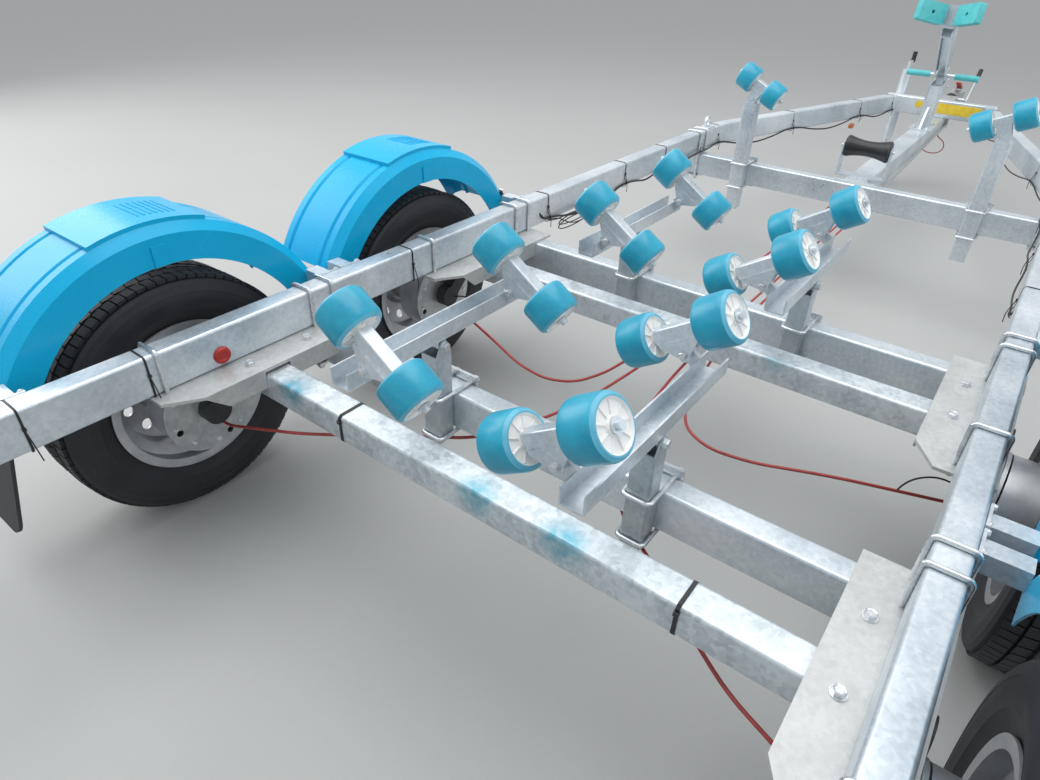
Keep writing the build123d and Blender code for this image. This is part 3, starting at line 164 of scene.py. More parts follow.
# %% Round tubes and flat bands
def pipe(bm, points, radius, facets):
    """A round tube along a list of points, carried along without twist and capped at both ends."""
    points = [Vector(p) for p in points]
    count = len(points)
    rings = []
    normal = None
    for i, p in enumerate(points):
        ahead = points[min(i + 1, count - 1)] - points[max(i - 1, 0)]
        ahead.normalize()
        if normal is None:
            normal = ahead.orthogonal().normalized()
        normal = (normal - ahead * normal.dot(ahead)).normalized()
        other = ahead.cross(normal)
        turns = [2 * pi * j / facets for j in range(facets)]
        rings.append([bm.verts.new(p + (normal * cos(t) + other * sin(t)) * radius) for t in turns])
    for here, there in zip(rings, rings[1:]):
        for j in range(facets):
            after = (j + 1) % facets
            bm.faces.new([here[j], here[after], there[after], there[j]])
    bm.faces.new(rings[0])
    bm.faces.new(rings[-1])


def strap(bm, loop, across, width, thickness):
    """A flat closed band: loop is its inner line and across the direction of its width."""
    across = Vector(across).normalized()
    loop = [Vector(p) for p in loop]
    heart = sum(loop, Vector()) / len(loop)
    corners = ((-width / 2, 0), (width / 2, 0), (width / 2, thickness), (-width / 2, thickness))
    rings = []
    for i, point in enumerate(loop):
        ahead = (loop[(i + 1) % len(loop)] - loop[i - 1]).normalized()
        out = ahead.cross(across).normalized()
        if out.dot(point - heart) < 0:
            out = -out
        rings.append([bm.verts.new(point + across * a + out * t) for a, t in corners])
    for i, here in enumerate(rings):
        there = rings[(i + 1) % len(rings)]
        for j in range(4):
            after = (j + 1) % 4
            bm.faces.new([here[j], here[after], there[after], there[j]])


print("tubes and bands ready")


# %% Smooth cord lines
def cord_line(route, fineness=6):
    """The points of a smooth NURBS line whose control points are the route."""
    data = bpy.data.curves.new("cord line", "CURVE")
    data.dimensions = "3D"
    spline = data.splines.new("NURBS")
    spline.points.add(len(route) - 1)
    for point, place in zip(spline.points, route):
        point.co = (*place, 1.0)
    spline.order_u = 3
    spline.use_endpoint_u = True
    data.resolution_u = fineness
    holder = bpy.data.objects.new("cord line", data)
    mesh = bpy.data.meshes.new_from_object(holder)
    points = [v.co.copy() for v in mesh.vertices]
    bpy.data.objects.remove(holder)
    bpy.data.meshes.remove(mesh)
    return points


print("cord lines ready")

# %% [markdown]
# ## Finishes
# A finish is a small chain of nodes. Object coordinates give every point its place in metres, noise
# at two scales breaks up the colour, and the same noise drives roughness and a faint bump.
# One helper makes that chain, because steel, rubber and plastic differ only in their numbers.

# %% Nodes that the finishes share
def noise(tree, place, scale, detail=2.0, roughness=0.5):
    """Noise at a place, its scale in waves to the metre."""
    node = tree.nodes.new("ShaderNodeTexNoise")
    node.inputs["Scale"].default_value = scale
    node.inputs["Detail"].default_value = detail
    node.inputs["Roughness"].default_value = roughness
    tree.links.new(place, node.inputs["Vector"])
    return node.outputs["Fac"]


def reckon(tree, operation, *values):
    """One step of arithmetic on sockets and plain numbers."""
    node = tree.nodes.new("ShaderNodeMath")
    node.operation = operation
    for socket, value in zip(node.inputs, values):
        if isinstance(value, float):
            socket.default_value = value
        else:
            tree.links.new(value, socket)
    return node.outputs[0]


def remap(tree, value, before, after):
    """A value stretched from one range to another and held inside it."""
    node = tree.nodes.new("ShaderNodeMapRange")
    node.inputs["From Min"].default_value, node.inputs["From Max"].default_value = before
    node.inputs["To Min"].default_value, node.inputs["To Max"].default_value = after
    tree.links.new(value, node.inputs["Value"])
    return node.outputs["Result"]


print("shared nodes ready")

# %% A helper for mottled finishes
noise_roughness = 0.55
speck_share = 0.35
ramp_ends = (0.42, 0.95)
value_range = (0.3, 1.0)
relief_strength = 0.35
coat_roughness = 0.12


def mottled(name, dark, light, patch, grain, rough, metal=0.0, bump=0.0, cells=0.0, coat=0.0,
            spangles=0.14, shine=0.5):
    """Noise in patches (size in metres) and grain between two colours; cells adds the spangle of zinc."""
    material = bpy.data.materials.new(name)
    material.use_nodes = True
    tree = material.node_tree
    nodes, link = tree.nodes, tree.links.new
    shader = nodes["Principled BSDF"]
    place = nodes.new("ShaderNodeTexCoord").outputs["Object"]
    patches = noise(tree, place, 1.0 / patch, 4.0, noise_roughness)
    speck = noise(tree, place, 1.0 / grain, 3.0, noise_roughness)
    value = reckon(tree, "MULTIPLY_ADD", speck, speck_share, patches)
    if cells:
        spangle = nodes.new("ShaderNodeTexVoronoi")
        spangle.inputs["Scale"].default_value = 1.0 / cells
        link(place, spangle.inputs["Vector"])
        shade = nodes.new("ShaderNodeSeparateColor")
        link(spangle.outputs["Color"], shade.inputs[0])
        value = reckon(tree, "MULTIPLY_ADD", shade.outputs[0], spangles, value)
    ramp = nodes.new("ShaderNodeValToRGB")
    for stop, position, colour in zip(ramp.color_ramp.elements, ramp_ends, (dark, light)):
        stop.position = position
        stop.color = (*colour, 1)
    link(value, ramp.inputs["Fac"])
    link(ramp.outputs["Color"], shader.inputs["Base Color"])
    link(remap(tree, value, value_range, rough), shader.inputs["Roughness"])
    shader.inputs["Metallic"].default_value = metal
    shader.inputs["Specular IOR Level"].default_value = shine
    shader.inputs["Coat Weight"].default_value = coat
    shader.inputs["Coat Roughness"].default_value = coat_roughness
    if bump:
        relief = nodes.new("ShaderNodeBump")
        relief.inputs["Strength"].default_value = relief_strength
        relief.inputs["Distance"].default_value = bump
        link(speck, relief.inputs["Height"])
        link(relief.outputs["Normal"], shader.inputs["Normal"])
    return material


print("mottled finishes ready")

# %% [markdown]
# Two pieces show a colour whose edge no seam in the CAD follows: paint wiped off on an axle tube, and
# the panes of a rear lamp. An image could carry them, but it would need unwrapping and would blur up
# close. Here a mask worked out from each point's place lays the second colour over the first.

# %% Wiped marks and bands of colour
wipe_scale = 55.0
wipe_heart = 0.35
wipe_strength = 1.15


def lay_over(tree, share, colour):
    """Lays one more colour over a finish, as strongly as share says."""
    target = tree.nodes["Principled BSDF"].inputs["Base Color"]
    mix = tree.nodes.new("ShaderNodeMix")
    mix.data_type = "RGBA"
    tree.links.new(share, mix.inputs["Factor"])
    tree.links.new(target.links[0].from_socket, mix.inputs[6])
    mix.inputs[7].default_value = (*colour, 1)
    tree.links.new(mix.outputs[2], target)


def smudge(material, colour, marks):
    """Wipes colour over a finish near each (place, radius), broken up by noise."""
    tree = material.node_tree
    place = tree.nodes.new("ShaderNodeTexCoord").outputs["Object"]
    wipes = noise(tree, place, wipe_scale)
    for spot, radius in marks:
        away = tree.nodes.new("ShaderNodeVectorMath")
        away.operation = "DISTANCE"
        tree.links.new(place, away.inputs[0])
        away.inputs[1].default_value = spot
        near = remap(tree, away.outputs["Value"], (radius, radius * wipe_heart), (0.0, wipe_strength))
        lay_over(tree, reckon(tree, "MULTIPLY", near, wipes), colour)


def bands(material, steps):
    """Changes the colour past each (distance from the middle plane, colour), as in a lamp's panes."""
    tree = material.node_tree
    split = tree.nodes.new("ShaderNodeSeparateXYZ")
    tree.links.new(tree.nodes.new("ShaderNodeTexCoord").outputs["Object"], split.inputs[0])
    across = reckon(tree, "ABSOLUTE", split.outputs["Y"])
    for distance, colour in steps:
        lay_over(tree, reckon(tree, "GREATER_THAN", across, distance), colour)


print("marks and bands ready")

# %% [markdown]
# ## The palette
# The frame is hot-dip galvanised: pale, slightly blue, with a faint spangle of zinc crystals just under
# a centimetre across and dull patches where the zinc has weathered. The guards are glossy cyan plastic,
# the rollers a darker satin blue with an ivory core and a painted highlight of paler blue on their
# bevels, and the pads a chalky teal.

# %% Finishes of this trailer
zinc = mottled("galvanised steel", (0.44, 0.51, 0.56), (0.78, 0.83, 0.86), 0.24, 0.012, (0.22, 0.44),
               metal=0.66, bump=0.0003, cells=0.008)
zinc_dull = mottled("dull galvanised steel", (0.34, 0.385, 0.41), (0.60, 0.65, 0.67), 0.12, 0.010,
                    (0.30, 0.54), metal=0.62, bump=0.0003, cells=0.008)
zinc_white = mottled("chalky galvanised plate", (0.40, 0.41, 0.405), (0.60, 0.61, 0.60), 0.16, 0.010,
                     (0.34, 0.54), metal=0.45, bump=0.0003, cells=0.009)
bright_zinc = mottled("bright plated steel", (0.58, 0.60, 0.62), (0.86, 0.88, 0.89), 0.03, 0.004,
                      (0.18, 0.36), metal=0.85, bump=0.0001)
cast_grey = mottled("plated casting", (0.36, 0.38, 0.39), (0.64, 0.66, 0.66), 0.03, 0.004, (0.28, 0.5),
                    metal=0.75, bump=0.0004)
black_paint = mottled("black painted steel", (0.012, 0.013, 0.015), (0.045, 0.047, 0.052), 0.05, 0.006,
                      (0.35, 0.6), bump=0.0003)
rim_paint = mottled("silver rim paint", (0.42, 0.43, 0.45), (0.66, 0.67, 0.69), 0.06, 0.002, (0.28, 0.45),
                    metal=0.75)
print("metal finishes", len(bpy.data.materials))

# %% Plastics and rubbers
guard_plastic = mottled("cyan guard plastic", (0.001, 0.36, 0.63), (0.003, 0.43, 0.72), 0.30, 0.004,
                        (0.20, 0.32), bump=0.0001, coat=0.04, shine=0.28)
roller_plastic = mottled("roller polyurethane", (0.004, 0.26, 0.40), (0.016, 0.38, 0.54), 0.05, 0.003,
                         (0.26, 0.42), bump=0.0002, coat=0.15)
# A paler copy of the roller blue for the bevels: a painted highlight of their rounded edges.
roller_bevel_highlight = mottled("roller bevel painted highlight", (0.07, 0.38, 0.54), (0.16, 0.50, 0.66), 0.03, 0.003,
                      (0.30, 0.45))
roller_core = mottled("ivory roller core", (0.80, 0.81, 0.79), (0.92, 0.92, 0.90), 0.02, 0.003,
                      (0.30, 0.45), bump=0.0003)
pad_plastic = mottled("teal pad plastic", (0.05, 0.44, 0.46), (0.13, 0.58, 0.60), 0.04, 0.003, (0.4, 0.6),
                      bump=0.0003)
tyre_rubber = mottled("tyre rubber", (0.008, 0.0085, 0.011), (0.026, 0.027, 0.032), 0.08, 0.003,
                      (0.42, 0.68), bump=0.0003)
soft_rubber = mottled("black rubber", (0.014, 0.015, 0.016), (0.05, 0.052, 0.055), 0.05, 0.004,
                      (0.5, 0.75), bump=0.0003)
keel_rubber = mottled("polished black rubber", (0.006, 0.0065, 0.008), (0.022, 0.023, 0.027), 0.05, 0.004,
                      (0.26, 0.45), bump=0.0002)
red_sheath = mottled("red cable sheath", (0.24, 0.025, 0.025), (0.42, 0.06, 0.055), 0.02, 0.002, (0.3, 0.5))
yellow_film = mottled("yellow film", (0.62, 0.42, 0.02), (0.80, 0.60, 0.06), 0.03, 0.002, (0.3, 0.45))
red_plastic = mottled("red plastic", (0.30, 0.012, 0.012), (0.50, 0.03, 0.025), 0.02, 0.002, (0.25, 0.45))
orange_plastic = mottled("orange connector", (0.42, 0.10, 0.02), (0.62, 0.18, 0.04), 0.02, 0.002,
                         (0.35, 0.5))
pale_wire = mottled("pale wire", (0.55, 0.55, 0.53), (0.75, 0.75, 0.72), 0.02, 0.002, (0.4, 0.6))
black_nylon = mottled("black nylon", (0.008, 0.008, 0.009), (0.03, 0.03, 0.032), 0.01, 0.002, (0.35, 0.55))
white_lens = mottled("clear lamp lens", (0.70, 0.72, 0.74), (0.88, 0.89, 0.90), 0.02, 0.002, (0.08, 0.18),
                     coat=0.6)
print("finishes", len(bpy.data.materials))

# %% Lamp panes and wiped marks
red_lens = mottled("red lamp lens", (0.28, 0.006, 0.008), (0.48, 0.015, 0.015), 0.02, 0.002, (0.08, 0.2),
                   coat=0.6)
bands(red_lens, [(0.820, (0.62, 0.63, 0.64)), (0.824, (0.42, 0.012, 0.012)), (0.912, (0.70, 0.20, 0.01))])
zinc_marked = mottled("galvanised tube with paint wipes", (0.38, 0.44, 0.475), (0.72, 0.78, 0.81), 0.10,
                      0.010, (0.24, 0.48), metal=0.62, bump=0.0003, cells=0.011, spangles=0.26)
teal_marks = [((-1.932, 0.560, 0.452), 0.055), ((-1.932, -0.010, 0.452), 0.060),
              ((-1.932, -0.215, 0.452), 0.065), ((-0.870, 0.060, 0.460), 0.050),
              ((-1.080, -0.285, 0.455), 0.050), ((-0.906, -0.275, 0.455), 0.040)]
smudge(zinc_marked, (0.03, 0.37, 0.50), teal_marks)
print("finishes", len(bpy.data.materials))

# %% [markdown]
# ## Painting the frame
# The CAD nodes arrive as loose triangles. Each gets a welded copy, so that gentle curves shade
# smoothly while folded edges stay crisp, and the copy takes the node's place.

# %% Which node wears which finish
coats = {
    "main_rails": zinc, "cross_beams": zinc, "mudguard_stays": zinc, "bow_posts": zinc, "drawbar": zinc,
    "keel_bracket": zinc, "winch_post": zinc, "jockey_tube": zinc, "cradle_posts": zinc_dull,
    "jockey_fork": zinc_dull, "handbrake_lever": zinc_dull, "u_bolts": bright_zinc,
    "jockey_leg": bright_zinc, "axle_tubes": zinc_marked, "axle_brackets": zinc_white,
    "swing_arms": black_paint, "brake_backplates": cast_grey, "overrun_unit": cast_grey,
    "coupling_head": cast_grey, "coupling_latch": red_plastic, "mudguards": guard_plastic,
    "light_board": guard_plastic, "bow_pads": pad_plastic, "push_grips": pad_plastic,
    "mudflaps": soft_rubber, "bellows": soft_rubber, "jockey_wheel": soft_rubber,
    "keel_roller": keel_rubber, "rear_lamps": red_lens, "brake_cables": red_sheath,
}
families = {"cradle_arm_": zinc, "yoke_": zinc, "rollers_": roller_plastic, "bow_rollers_": roller_plastic,
            "tyre_": tyre_rubber, "rim_": rim_paint}


def finish_of(node):
    """The finish of a node, by its own name or by its family's."""
    if node in coats:
        return coats[node]
    return next(finish for start, finish in families.items() if node.startswith(start))


print("finishes by name", len(coats), "and by family", len(families))

# %% Each node's body in the record
bodies = frame["record"]["behaviour"]["bodies"]
body_of = {node: body for body, nodes in bodies.items() for node in nodes}


# %% Dress every node but the tyres
def dress(node):
    """A welded copy of a CAD node, in the node's place."""
    bm = bmesh.new()
    bm.from_mesh(frame["nodes"][node].data)
    bmesh.ops.remove_doubles(bm, verts=bm.verts, dist=2 * weld)
    obj = settle(bm, node + "_dressed", finish_of(node), body_of[node])
    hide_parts(node)
    return obj


dressed = {node: dress(node) for node in frame["nodes"] if not node.startswith("tyre_")}
print("dressed", len(dressed), "nodes")

# %% [markdown]
# ## Tyres
# A road tyre has a smooth carcass with blocks standing on it. Hundreds of like blocks round a hoop are
# work for Geometry Nodes: a circle of points, one block per point, turned to face outwards, then
# realized into a plain mesh, because instances don't survive the export.

# %% Start and run a Geometry Nodes tree
def socket_id(tree, name):
    """The identifier of a named input, which is how a modifier is told its value."""
    return next(i.identifier for i in tree.interface.items_tree
                if i.item_type == "SOCKET" and i.in_out == "INPUT" and i.name == name)


def new_tree(name, numbers):
    """An empty tree with a geometry input and output and one input for each named number."""
    tree = bpy.data.node_groups.new(name, "GeometryNodeTree")
    tree.interface.new_socket("Geometry", in_out="INPUT", socket_type="NodeSocketGeometry")
    tree.interface.new_socket("Geometry", in_out="OUTPUT", socket_type="NodeSocketGeometry")
    for label, kind in numbers:
        tree.interface.new_socket(label, in_out="INPUT", socket_type=kind)
    entry = tree.nodes.new("NodeGroupInput")
    leave = tree.nodes.new("NodeGroupOutput")
    return tree, entry, leave


def run_tree(tree, start_mesh, values, name, body):
    """Runs a tree on a start mesh and keeps the result as a plain mesh on one body."""
    holder = bpy.data.objects.new(name + " start", start_mesh)
    bpy.context.scene.collection.objects.link(holder)
    modifier = holder.modifiers.new("build", "NODES")
    modifier.node_group = tree
    for label, value in values.items():
        modifier[socket_id(tree, label)] = value
    bpy.context.view_layer.update()
    graph = bpy.context.evaluated_depsgraph_get()
    mesh = bpy.data.meshes.new_from_object(holder.evaluated_get(graph), depsgraph=graph)
    bpy.data.objects.remove(holder)
    obj = bpy.data.objects.new(name, mesh)
    bpy.context.scene.collection.objects.link(obj)
    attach(obj, body)
    return obj


print("tree helpers ready")


# %% A tree that sets one stamp on every point
def scatter_tree(name, extra, make_stamp):
    """One stamp on every point, turned by the point's own turn and sized by its own stretch."""
    tree, entry, leave = new_tree(name, [*extra, ("Finish", "NodeSocketMaterial")])

    def carried(label):
        node = tree.nodes.new("GeometryNodeInputNamedAttribute")
        node.data_type = "FLOAT_VECTOR"
        node.inputs["Name"].default_value = label
        return node.outputs["Attribute"]

    stamp = make_stamp(tree, entry)
    spread = tree.nodes.new("GeometryNodeInstanceOnPoints")
    rotation = tree.nodes.new("FunctionNodeEulerToRotation")
    real = tree.nodes.new("GeometryNodeRealizeInstances")
    paint = tree.nodes.new("GeometryNodeSetMaterial")
    link = tree.links.new
    link(entry.outputs["Geometry"], spread.inputs["Points"])
    link(stamp, spread.inputs["Instance"])
    link(carried("turn"), rotation.inputs["Euler"])
    link(rotation.outputs["Rotation"], spread.inputs["Rotation"])
    link(carried("stretch"), spread.inputs["Scale"])
    link(spread.outputs["Instances"], real.inputs["Geometry"])
    link(real.outputs["Geometry"], paint.inputs["Geometry"])
    link(entry.outputs["Finish"], paint.inputs["Material"])
    link(paint.outputs["Geometry"], leave.inputs["Geometry"])
    return tree


print("scatter tree ready")


# %% Two kinds of stamp and the points that carry them
def block_stamp(tree, entry):
    """A block whose size is an input."""
    cube = tree.nodes.new("GeometryNodeMeshCube")
    tree.links.new(entry.outputs["Block"], cube.inputs["Size"])
    return cube.outputs["Mesh"]


def object_stamp(tree, entry):
    """The mesh of an object that is an input."""
    source = tree.nodes.new("GeometryNodeObjectInfo")
    tree.links.new(entry.outputs["Stamp"], source.inputs["Object"])
    return source.outputs["Geometry"]


def points_mesh(name, places, turns, stretches):
    """A mesh of bare points that carry a turn and a stretch each."""
    mesh = bpy.data.meshes.new(name)
    mesh.from_pydata([tuple(p) for p in places], [], [])
    for label, rows in (("turn", turns), ("stretch", stretches)):
        layer = mesh.attributes.new(label, "FLOAT_VECTOR", "POINT")
        layer.data.foreach_set("vector", [c for row in rows for c in row])
    return mesh


unit_block = (1.0, 1.0, 1.0)
blocks = scatter_tree("blocks on points", [("Block", "NodeSocketVector")], block_stamp)
stamps = scatter_tree("stamps on points", [("Stamp", "NodeSocketObject")], object_stamp)
print("trees", blocks.name, "and", stamps.name)

# %% [markdown]
# The carcass is turned on a lathe from one outline: bead, bulged wall with two moulded ribs,
# shoulder and a tread floor set a groove's depth below the blocks' tops. Five rows of blocks follow:
# a zigzag centre, two inner rows and two shoulder rows that run over the edge.

# %% Outline of the carcass
groove = 0.008
tread_half = tyre_width / 2 - 0.016
tread_floor = tyre_radius - groove
bead = 0.1905
shoulder = tyre_radius - 0.014
lining = tyre_radius - 0.020
carcass = [(-0.076, 0.2105), (-0.088, 0.235), (-0.0925, 0.2415), (-0.0925, 0.247), (-0.0965, 0.262),
           (-0.0972, 0.274), (-0.0955, 0.287), (-0.0965, 0.2885), (-0.0955, 0.292),
           (-0.0930, shoulder - 0.004), (-tread_half - 0.004, tread_floor - 0.002),
           (-0.05, tread_floor + 0.001), (0.0, tread_floor + 0.0015)]
carcass += [(-a, r) for a, r in carcass[-2::-1]]
carcass += [(0.074, bead), (0.062, bead), (0.084, 0.26), (0.070, lining),
            (-0.070, lining), (-0.084, 0.26), (-0.062, bead), (-0.074, bead)]
print("carcass outline", len(carcass), "points")

# %% Carcass and tread
# Each row: offset across, blocks round, width, share of the pitch filled, slant, phase.
tread_rows = [(0.0, 64, 0.022, 0.88, 0.30, 0.0),
              (-0.029, 64, 0.027, 0.90, -0.22, 0.5), (0.029, 64, 0.027, 0.90, 0.22, 0.5),
              (-0.0625, 80, 0.032, 0.88, 0.06, 0.0), (0.0625, 80, 0.032, 0.88, -0.06, 0.0)]
block_radius = tyre_radius - groove / 2 - 0.0008
hoop_segments = 96
for (end, side), centre in hub.items():
    bm = bmesh.new()
    lathe(bm, carcass, centre, (0, 1, 0), hoop_segments)
    body = f"wheel_{end}_{side}"
    shell = finish_mesh(bm, f"tyre_carcass_{end}_{side}", tyre_rubber, body)
    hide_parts(f"tyre_{end}_{side}")
    places, turns, stretches = [], [], []
    for across, count, width, share, slant, phase in tread_rows:
        for i in range(count):
            angle = 2 * pi * (i + phase) / count
            places.append(centre + Vector((sin(angle) * block_radius, across, cos(angle) * block_radius)))
            turns.append((0.0, angle, slant))
            stretches.append((2 * pi * block_radius / count * share, width, groove + 0.001))
    start = points_mesh("tread points", places, turns, stretches)
    run_tree(blocks, start, {"Block": unit_block, "Finish": tyre_rubber}, f"tread_{end}_{side}", body)
print("tyres", len(hub), "with", sum(row[1] for row in tread_rows), "blocks each")

# %% [markdown]
# ## Second colours on one node
# A roller is one CAD solid, but it shows a blue tyre and an ivory core, and its bevel carries a paler
# blue: a painted highlight where the rounded edge would catch the light. Which colour a face takes
# depends on how far it lies from the axis that it turns on, and the record knows each axis. The same
# helper blackens the crank's knob and the lever's grip.

# %% Paint some faces of a dressed node
joint_of = {joint["child"]: joint for joint in frame["record"]["behaviour"]["joints"]}


def off_axis(point, joint):
    """How far a point lies from a joint's axis."""
    axis = Vector(joint["axis"]).normalized()
    arm = Vector(point) - Vector(joint["pos_m"])
    return (arm - axis * arm.dot(axis)).length


def paint_faces(node, material, wanted):
    """Gives a second finish to the faces of a dressed node whose middles pass a test."""
    mesh = dressed[node].data
    mesh.materials.append(material)
    chosen = [face for face in mesh.polygons if wanted(face.center)]
    for face in chosen:
        face.material_index = len(mesh.materials) - 1
    return len(chosen)


# A roller's core ends at one radius and its bevel at the next. The crank's knob lies ahead of one plane
# and above another, and the lever is bare steel up to where its grip starts.
core_radius, bevel_radius = 0.0435, 0.0525
knob_back, knob_foot = 2.694, 0.747
lever_pivot = Vector(joint_of["handbrake_lever"]["pos_m"])
lever_steel = 0.168
painted = 0
for node in dressed:
    if "rollers_" in node:
        spin = joint_of[body_of[node]]
        # The band between core_radius and bevel_radius gets the paler blue, a painted highlight on the
        # bevel.
        painted += paint_faces(node, roller_bevel_highlight, lambda p: core_radius < off_axis(p, spin) < bevel_radius)
        painted += paint_faces(node, roller_core, lambda p: off_axis(p, spin) <= core_radius)
painted += paint_faces("jockey_tube", black_nylon, lambda p: p.x > knob_back and p.z > knob_foot)
painted += paint_faces("handbrake_lever", soft_rubber, lambda p: (p - lever_pivot).length > lever_steel)
print("faces painted", painted)

# %% [markdown]
# ## Nuts and bolts
# The frame is bolted together, and every U-bolt ends in two nuts. One small nut or bolt head is made
# on the lathe with six sides, and the second Geometry Nodes tree stamps it wherever two lists say:
# where it sits and which way it points. Each one is spun a little differently, as a spanner leaves it.

# %% Shapes of a nut and a bolt head
def shaped(bm, name):
    """A bare object for stamping, which never stays in the scene."""
    bmesh.ops.remove_doubles(bm, verts=bm.verts, dist=weld)
    bmesh.ops.recalc_face_normals(bm, faces=bm.faces)
    mesh = bpy.data.meshes.new(name)
    bm.to_mesh(mesh)
    bm.free()
    obj = bpy.data.objects.new(name, mesh)
    bpy.context.scene.collection.objects.link(obj)
    return obj


def nut_shape():
    """A washer with a hexagon nut on it, 10 mm thread, seen from +Z."""
    bm = bmesh.new()
    lathe(bm, [(0.0, 0.0), (0.0, 0.0115), (0.0020, 0.0115), (0.0020, 0.0)], (0, 0, 0), (0, 0, 1), 14)
    lathe(bm, [(0.0020, 0.0), (0.0020, 0.0098), (0.0092, 0.0098), (0.0102, 0.0086), (0.0102, 0.0)],
          (0, 0, 0), (0, 0, 1), 6)
    return shaped(bm, "nut stamp")


def head_shape():
    """A washer with a hexagon bolt head on it, its top dished."""
    bm = bmesh.new()
    lathe(bm, [(0.0, 0.0), (0.0, 0.0135), (0.0022, 0.0135), (0.0022, 0.0)], (0, 0, 0), (0, 0, 1), 16)
    lathe(bm, [(0.0022, 0.0), (0.0022, 0.0110), (0.0086, 0.0110), (0.0096, 0.0098), (0.0090, 0.0070),
               (0.0090, 0.0)], (0, 0, 0), (0, 0, 1), 6)
    return shaped(bm, "bolt head stamp")


print("fastener shapes ready")

# %% Stamp one shape on many rows
spanner_turn = radians(23.0)


def stamp_rows(name, shape, rows, material, body):
    """Stamps one shape on every row of (place, axis, scale), all on one body."""
    turns = []
    for i, (place, axis, scale) in enumerate(rows):
        aim = Vector(axis).to_track_quat("Z", "Y").to_matrix().to_4x4()
        turns.append(tuple((aim @ Matrix.Rotation(spanner_turn * i, 4, "Z")).to_euler()))
    stamp = shape()
    places = [row[0] for row in rows]
    start = points_mesh(name + " points", places, turns, [(row[2],) * 3 for row in rows])
    run_tree(stamps, start, {"Stamp": stamp, "Finish": material}, name, body)
    bpy.data.objects.remove(stamp)


print("stamping ready")


# %% [markdown]
# A written table of places would be wrong as soon as the frame changed, so most places are searched
# for. Each U-bolt is an island of its node's mesh, with no edge to its neighbours, and a ray cast
# towards a plate tells where a bolt's washer lands. The rest follow the hubs, the rails and the joints.

# %% Find where fasteners go
def islands(mesh):
    """The low and high corners of each separate piece of a mesh, in the order of its vertices."""
    bm = bmesh.new()
    bm.from_mesh(mesh)
    unseen = set(bm.verts)
    out = []
    for first in bm.verts:
        if first not in unseen:
            continue
        unseen.remove(first)
        front, group = [first], [first]
        while front:
            for edge in front.pop().link_edges:
                for v in edge.verts:
                    if v in unseen:
                        unseen.remove(v)
                        front.append(v)
                        group.append(v)
        out.append((Vector([min(v.co[i] for v in group) for i in range(3)]),
                    Vector([max(v.co[i] for v in group) for i in range(3)])))
    bm.free()
    return out


def landing(node, start, aim):
    """Where a ray from start first meets a dressed node."""
    found, place, normal, face = dressed[node].ray_cast(Vector(start), Vector(aim))
    return place if found else None


print("search helpers ready")

# %% Nuts on every U-bolt
# A tall island is a U-bolt over a rail, with its nuts below. A low one lies level round a post, with
# its nuts ahead: over a beam its rod is the island's top, and under it the island's foot. The bow
# posts, outside bow_post_y, are wider than the cradles' posts.
nut_gap = 0.014
wide_half, narrow_half = 0.0353, 0.0303
upright_height = 0.1
beam_mid_z = 0.42
bow_post_y = 0.4
nuts = []
for low, high in islands(dressed["u_bolts"].data):
    mid = (low + high) / 2
    if high.z - low.z > upright_height:
        for k in (-1, 1):
            nuts.append(((mid.x, mid.y + k * wide_half, low.z + nut_gap), (0, 0, -1), 1.0))
    else:
        rod_z = high.z - nut_gap if mid.z > beam_mid_z else low.z + nut_gap
        half = wide_half if abs(mid.y) > bow_post_y else narrow_half
        for k in (-1, 1):
            nuts.append(((high.x - nut_gap, mid.y + k * half, rod_z), (1, 0, 0), 1.0))
stamp_rows("u_bolt_nuts", nut_shape, nuts, bright_zinc, "frame")
print("nuts", len(nuts))

# %% Bolts of the plates, stays and winch post
plate_thickness = 0.008
plate_bolt_y = 0.700
stay_step, stay_mid_z, stay_bolt = 0.402, 0.545, 0.027
flange_thickness = 0.005
winch_x, winch_bolt_y, winch_foot = 2.170, 0.036, 0.006
plate_bolts, winch_bolts = (0.060, 0.230), (-0.085, 0.068)
stay_bolt_size = 0.52
heads, backs = [], []
for (end, side), centre in hub.items():
    k = sides[side]
    for ahead in plate_bolts:
        heads.append(((centre.x + ahead, k * plate_bolt_y, rail_bottom), (0, 0, 1), 1.0))
        backs.append(((centre.x + ahead, k * plate_bolt_y, rail_bottom - plate_thickness), (0, 0, -1), 1.0))
    for step in (-stay_step, stay_step):
        for dz in (-stay_bolt, stay_bolt):
            for dx in (-stay_bolt, stay_bolt):
                place = (centre.x + step + dx, k * (rail_outer + flange_thickness), stay_mid_z + dz)
                heads.append((place, (0, k, 0), stay_bolt_size))
for dx in winch_bolts:
    for k in (-1, 1):
        heads.append(((winch_x + dx, k * winch_bolt_y, rail_bottom + winch_foot), (0, 0, 1), 1.0))
stamp_rows("frame_bolt_heads", head_shape, heads, bright_zinc, "frame")
stamp_rows("frame_bolt_nuts", nut_shape, backs, bright_zinc, "frame")
print("bolt heads", len(heads), "and their nuts", len(backs))

# %% Nuts on the cradles' pins
post_half, tab_half = 0.025, 0.0217
pin_nut_size, yoke_nut_size = 1.05, 0.88
pins = []
for end in ends:
    for side, k in sides.items():
        body = body_of[f"cradle_arm_{end}_{side}"]
        pivot = Vector(joint_of[body]["pos_m"])
        pins += [((pivot.x, pivot.y + way * post_half, pivot.z), (0, way, 0), pin_nut_size)
                 for way in (-1, 1)]
        rows = []
        for name in (f"yoke_{end}_{side}_aft", f"yoke_{end}_{side}_fore"):
            swing = Vector(joint_of[name]["pos_m"])
            rows += [((swing.x + way * tab_half, swing.y, swing.z), (way, 0, 0), yoke_nut_size)
                     for way in (-1, 1)]
        stamp_rows(f"yoke_nuts_{end}_{side}", nut_shape, rows, bright_zinc, body)
stamp_rows("cradle_pin_nuts", nut_shape, pins, bright_zinc, "frame")
print("pin nuts", len(pins))

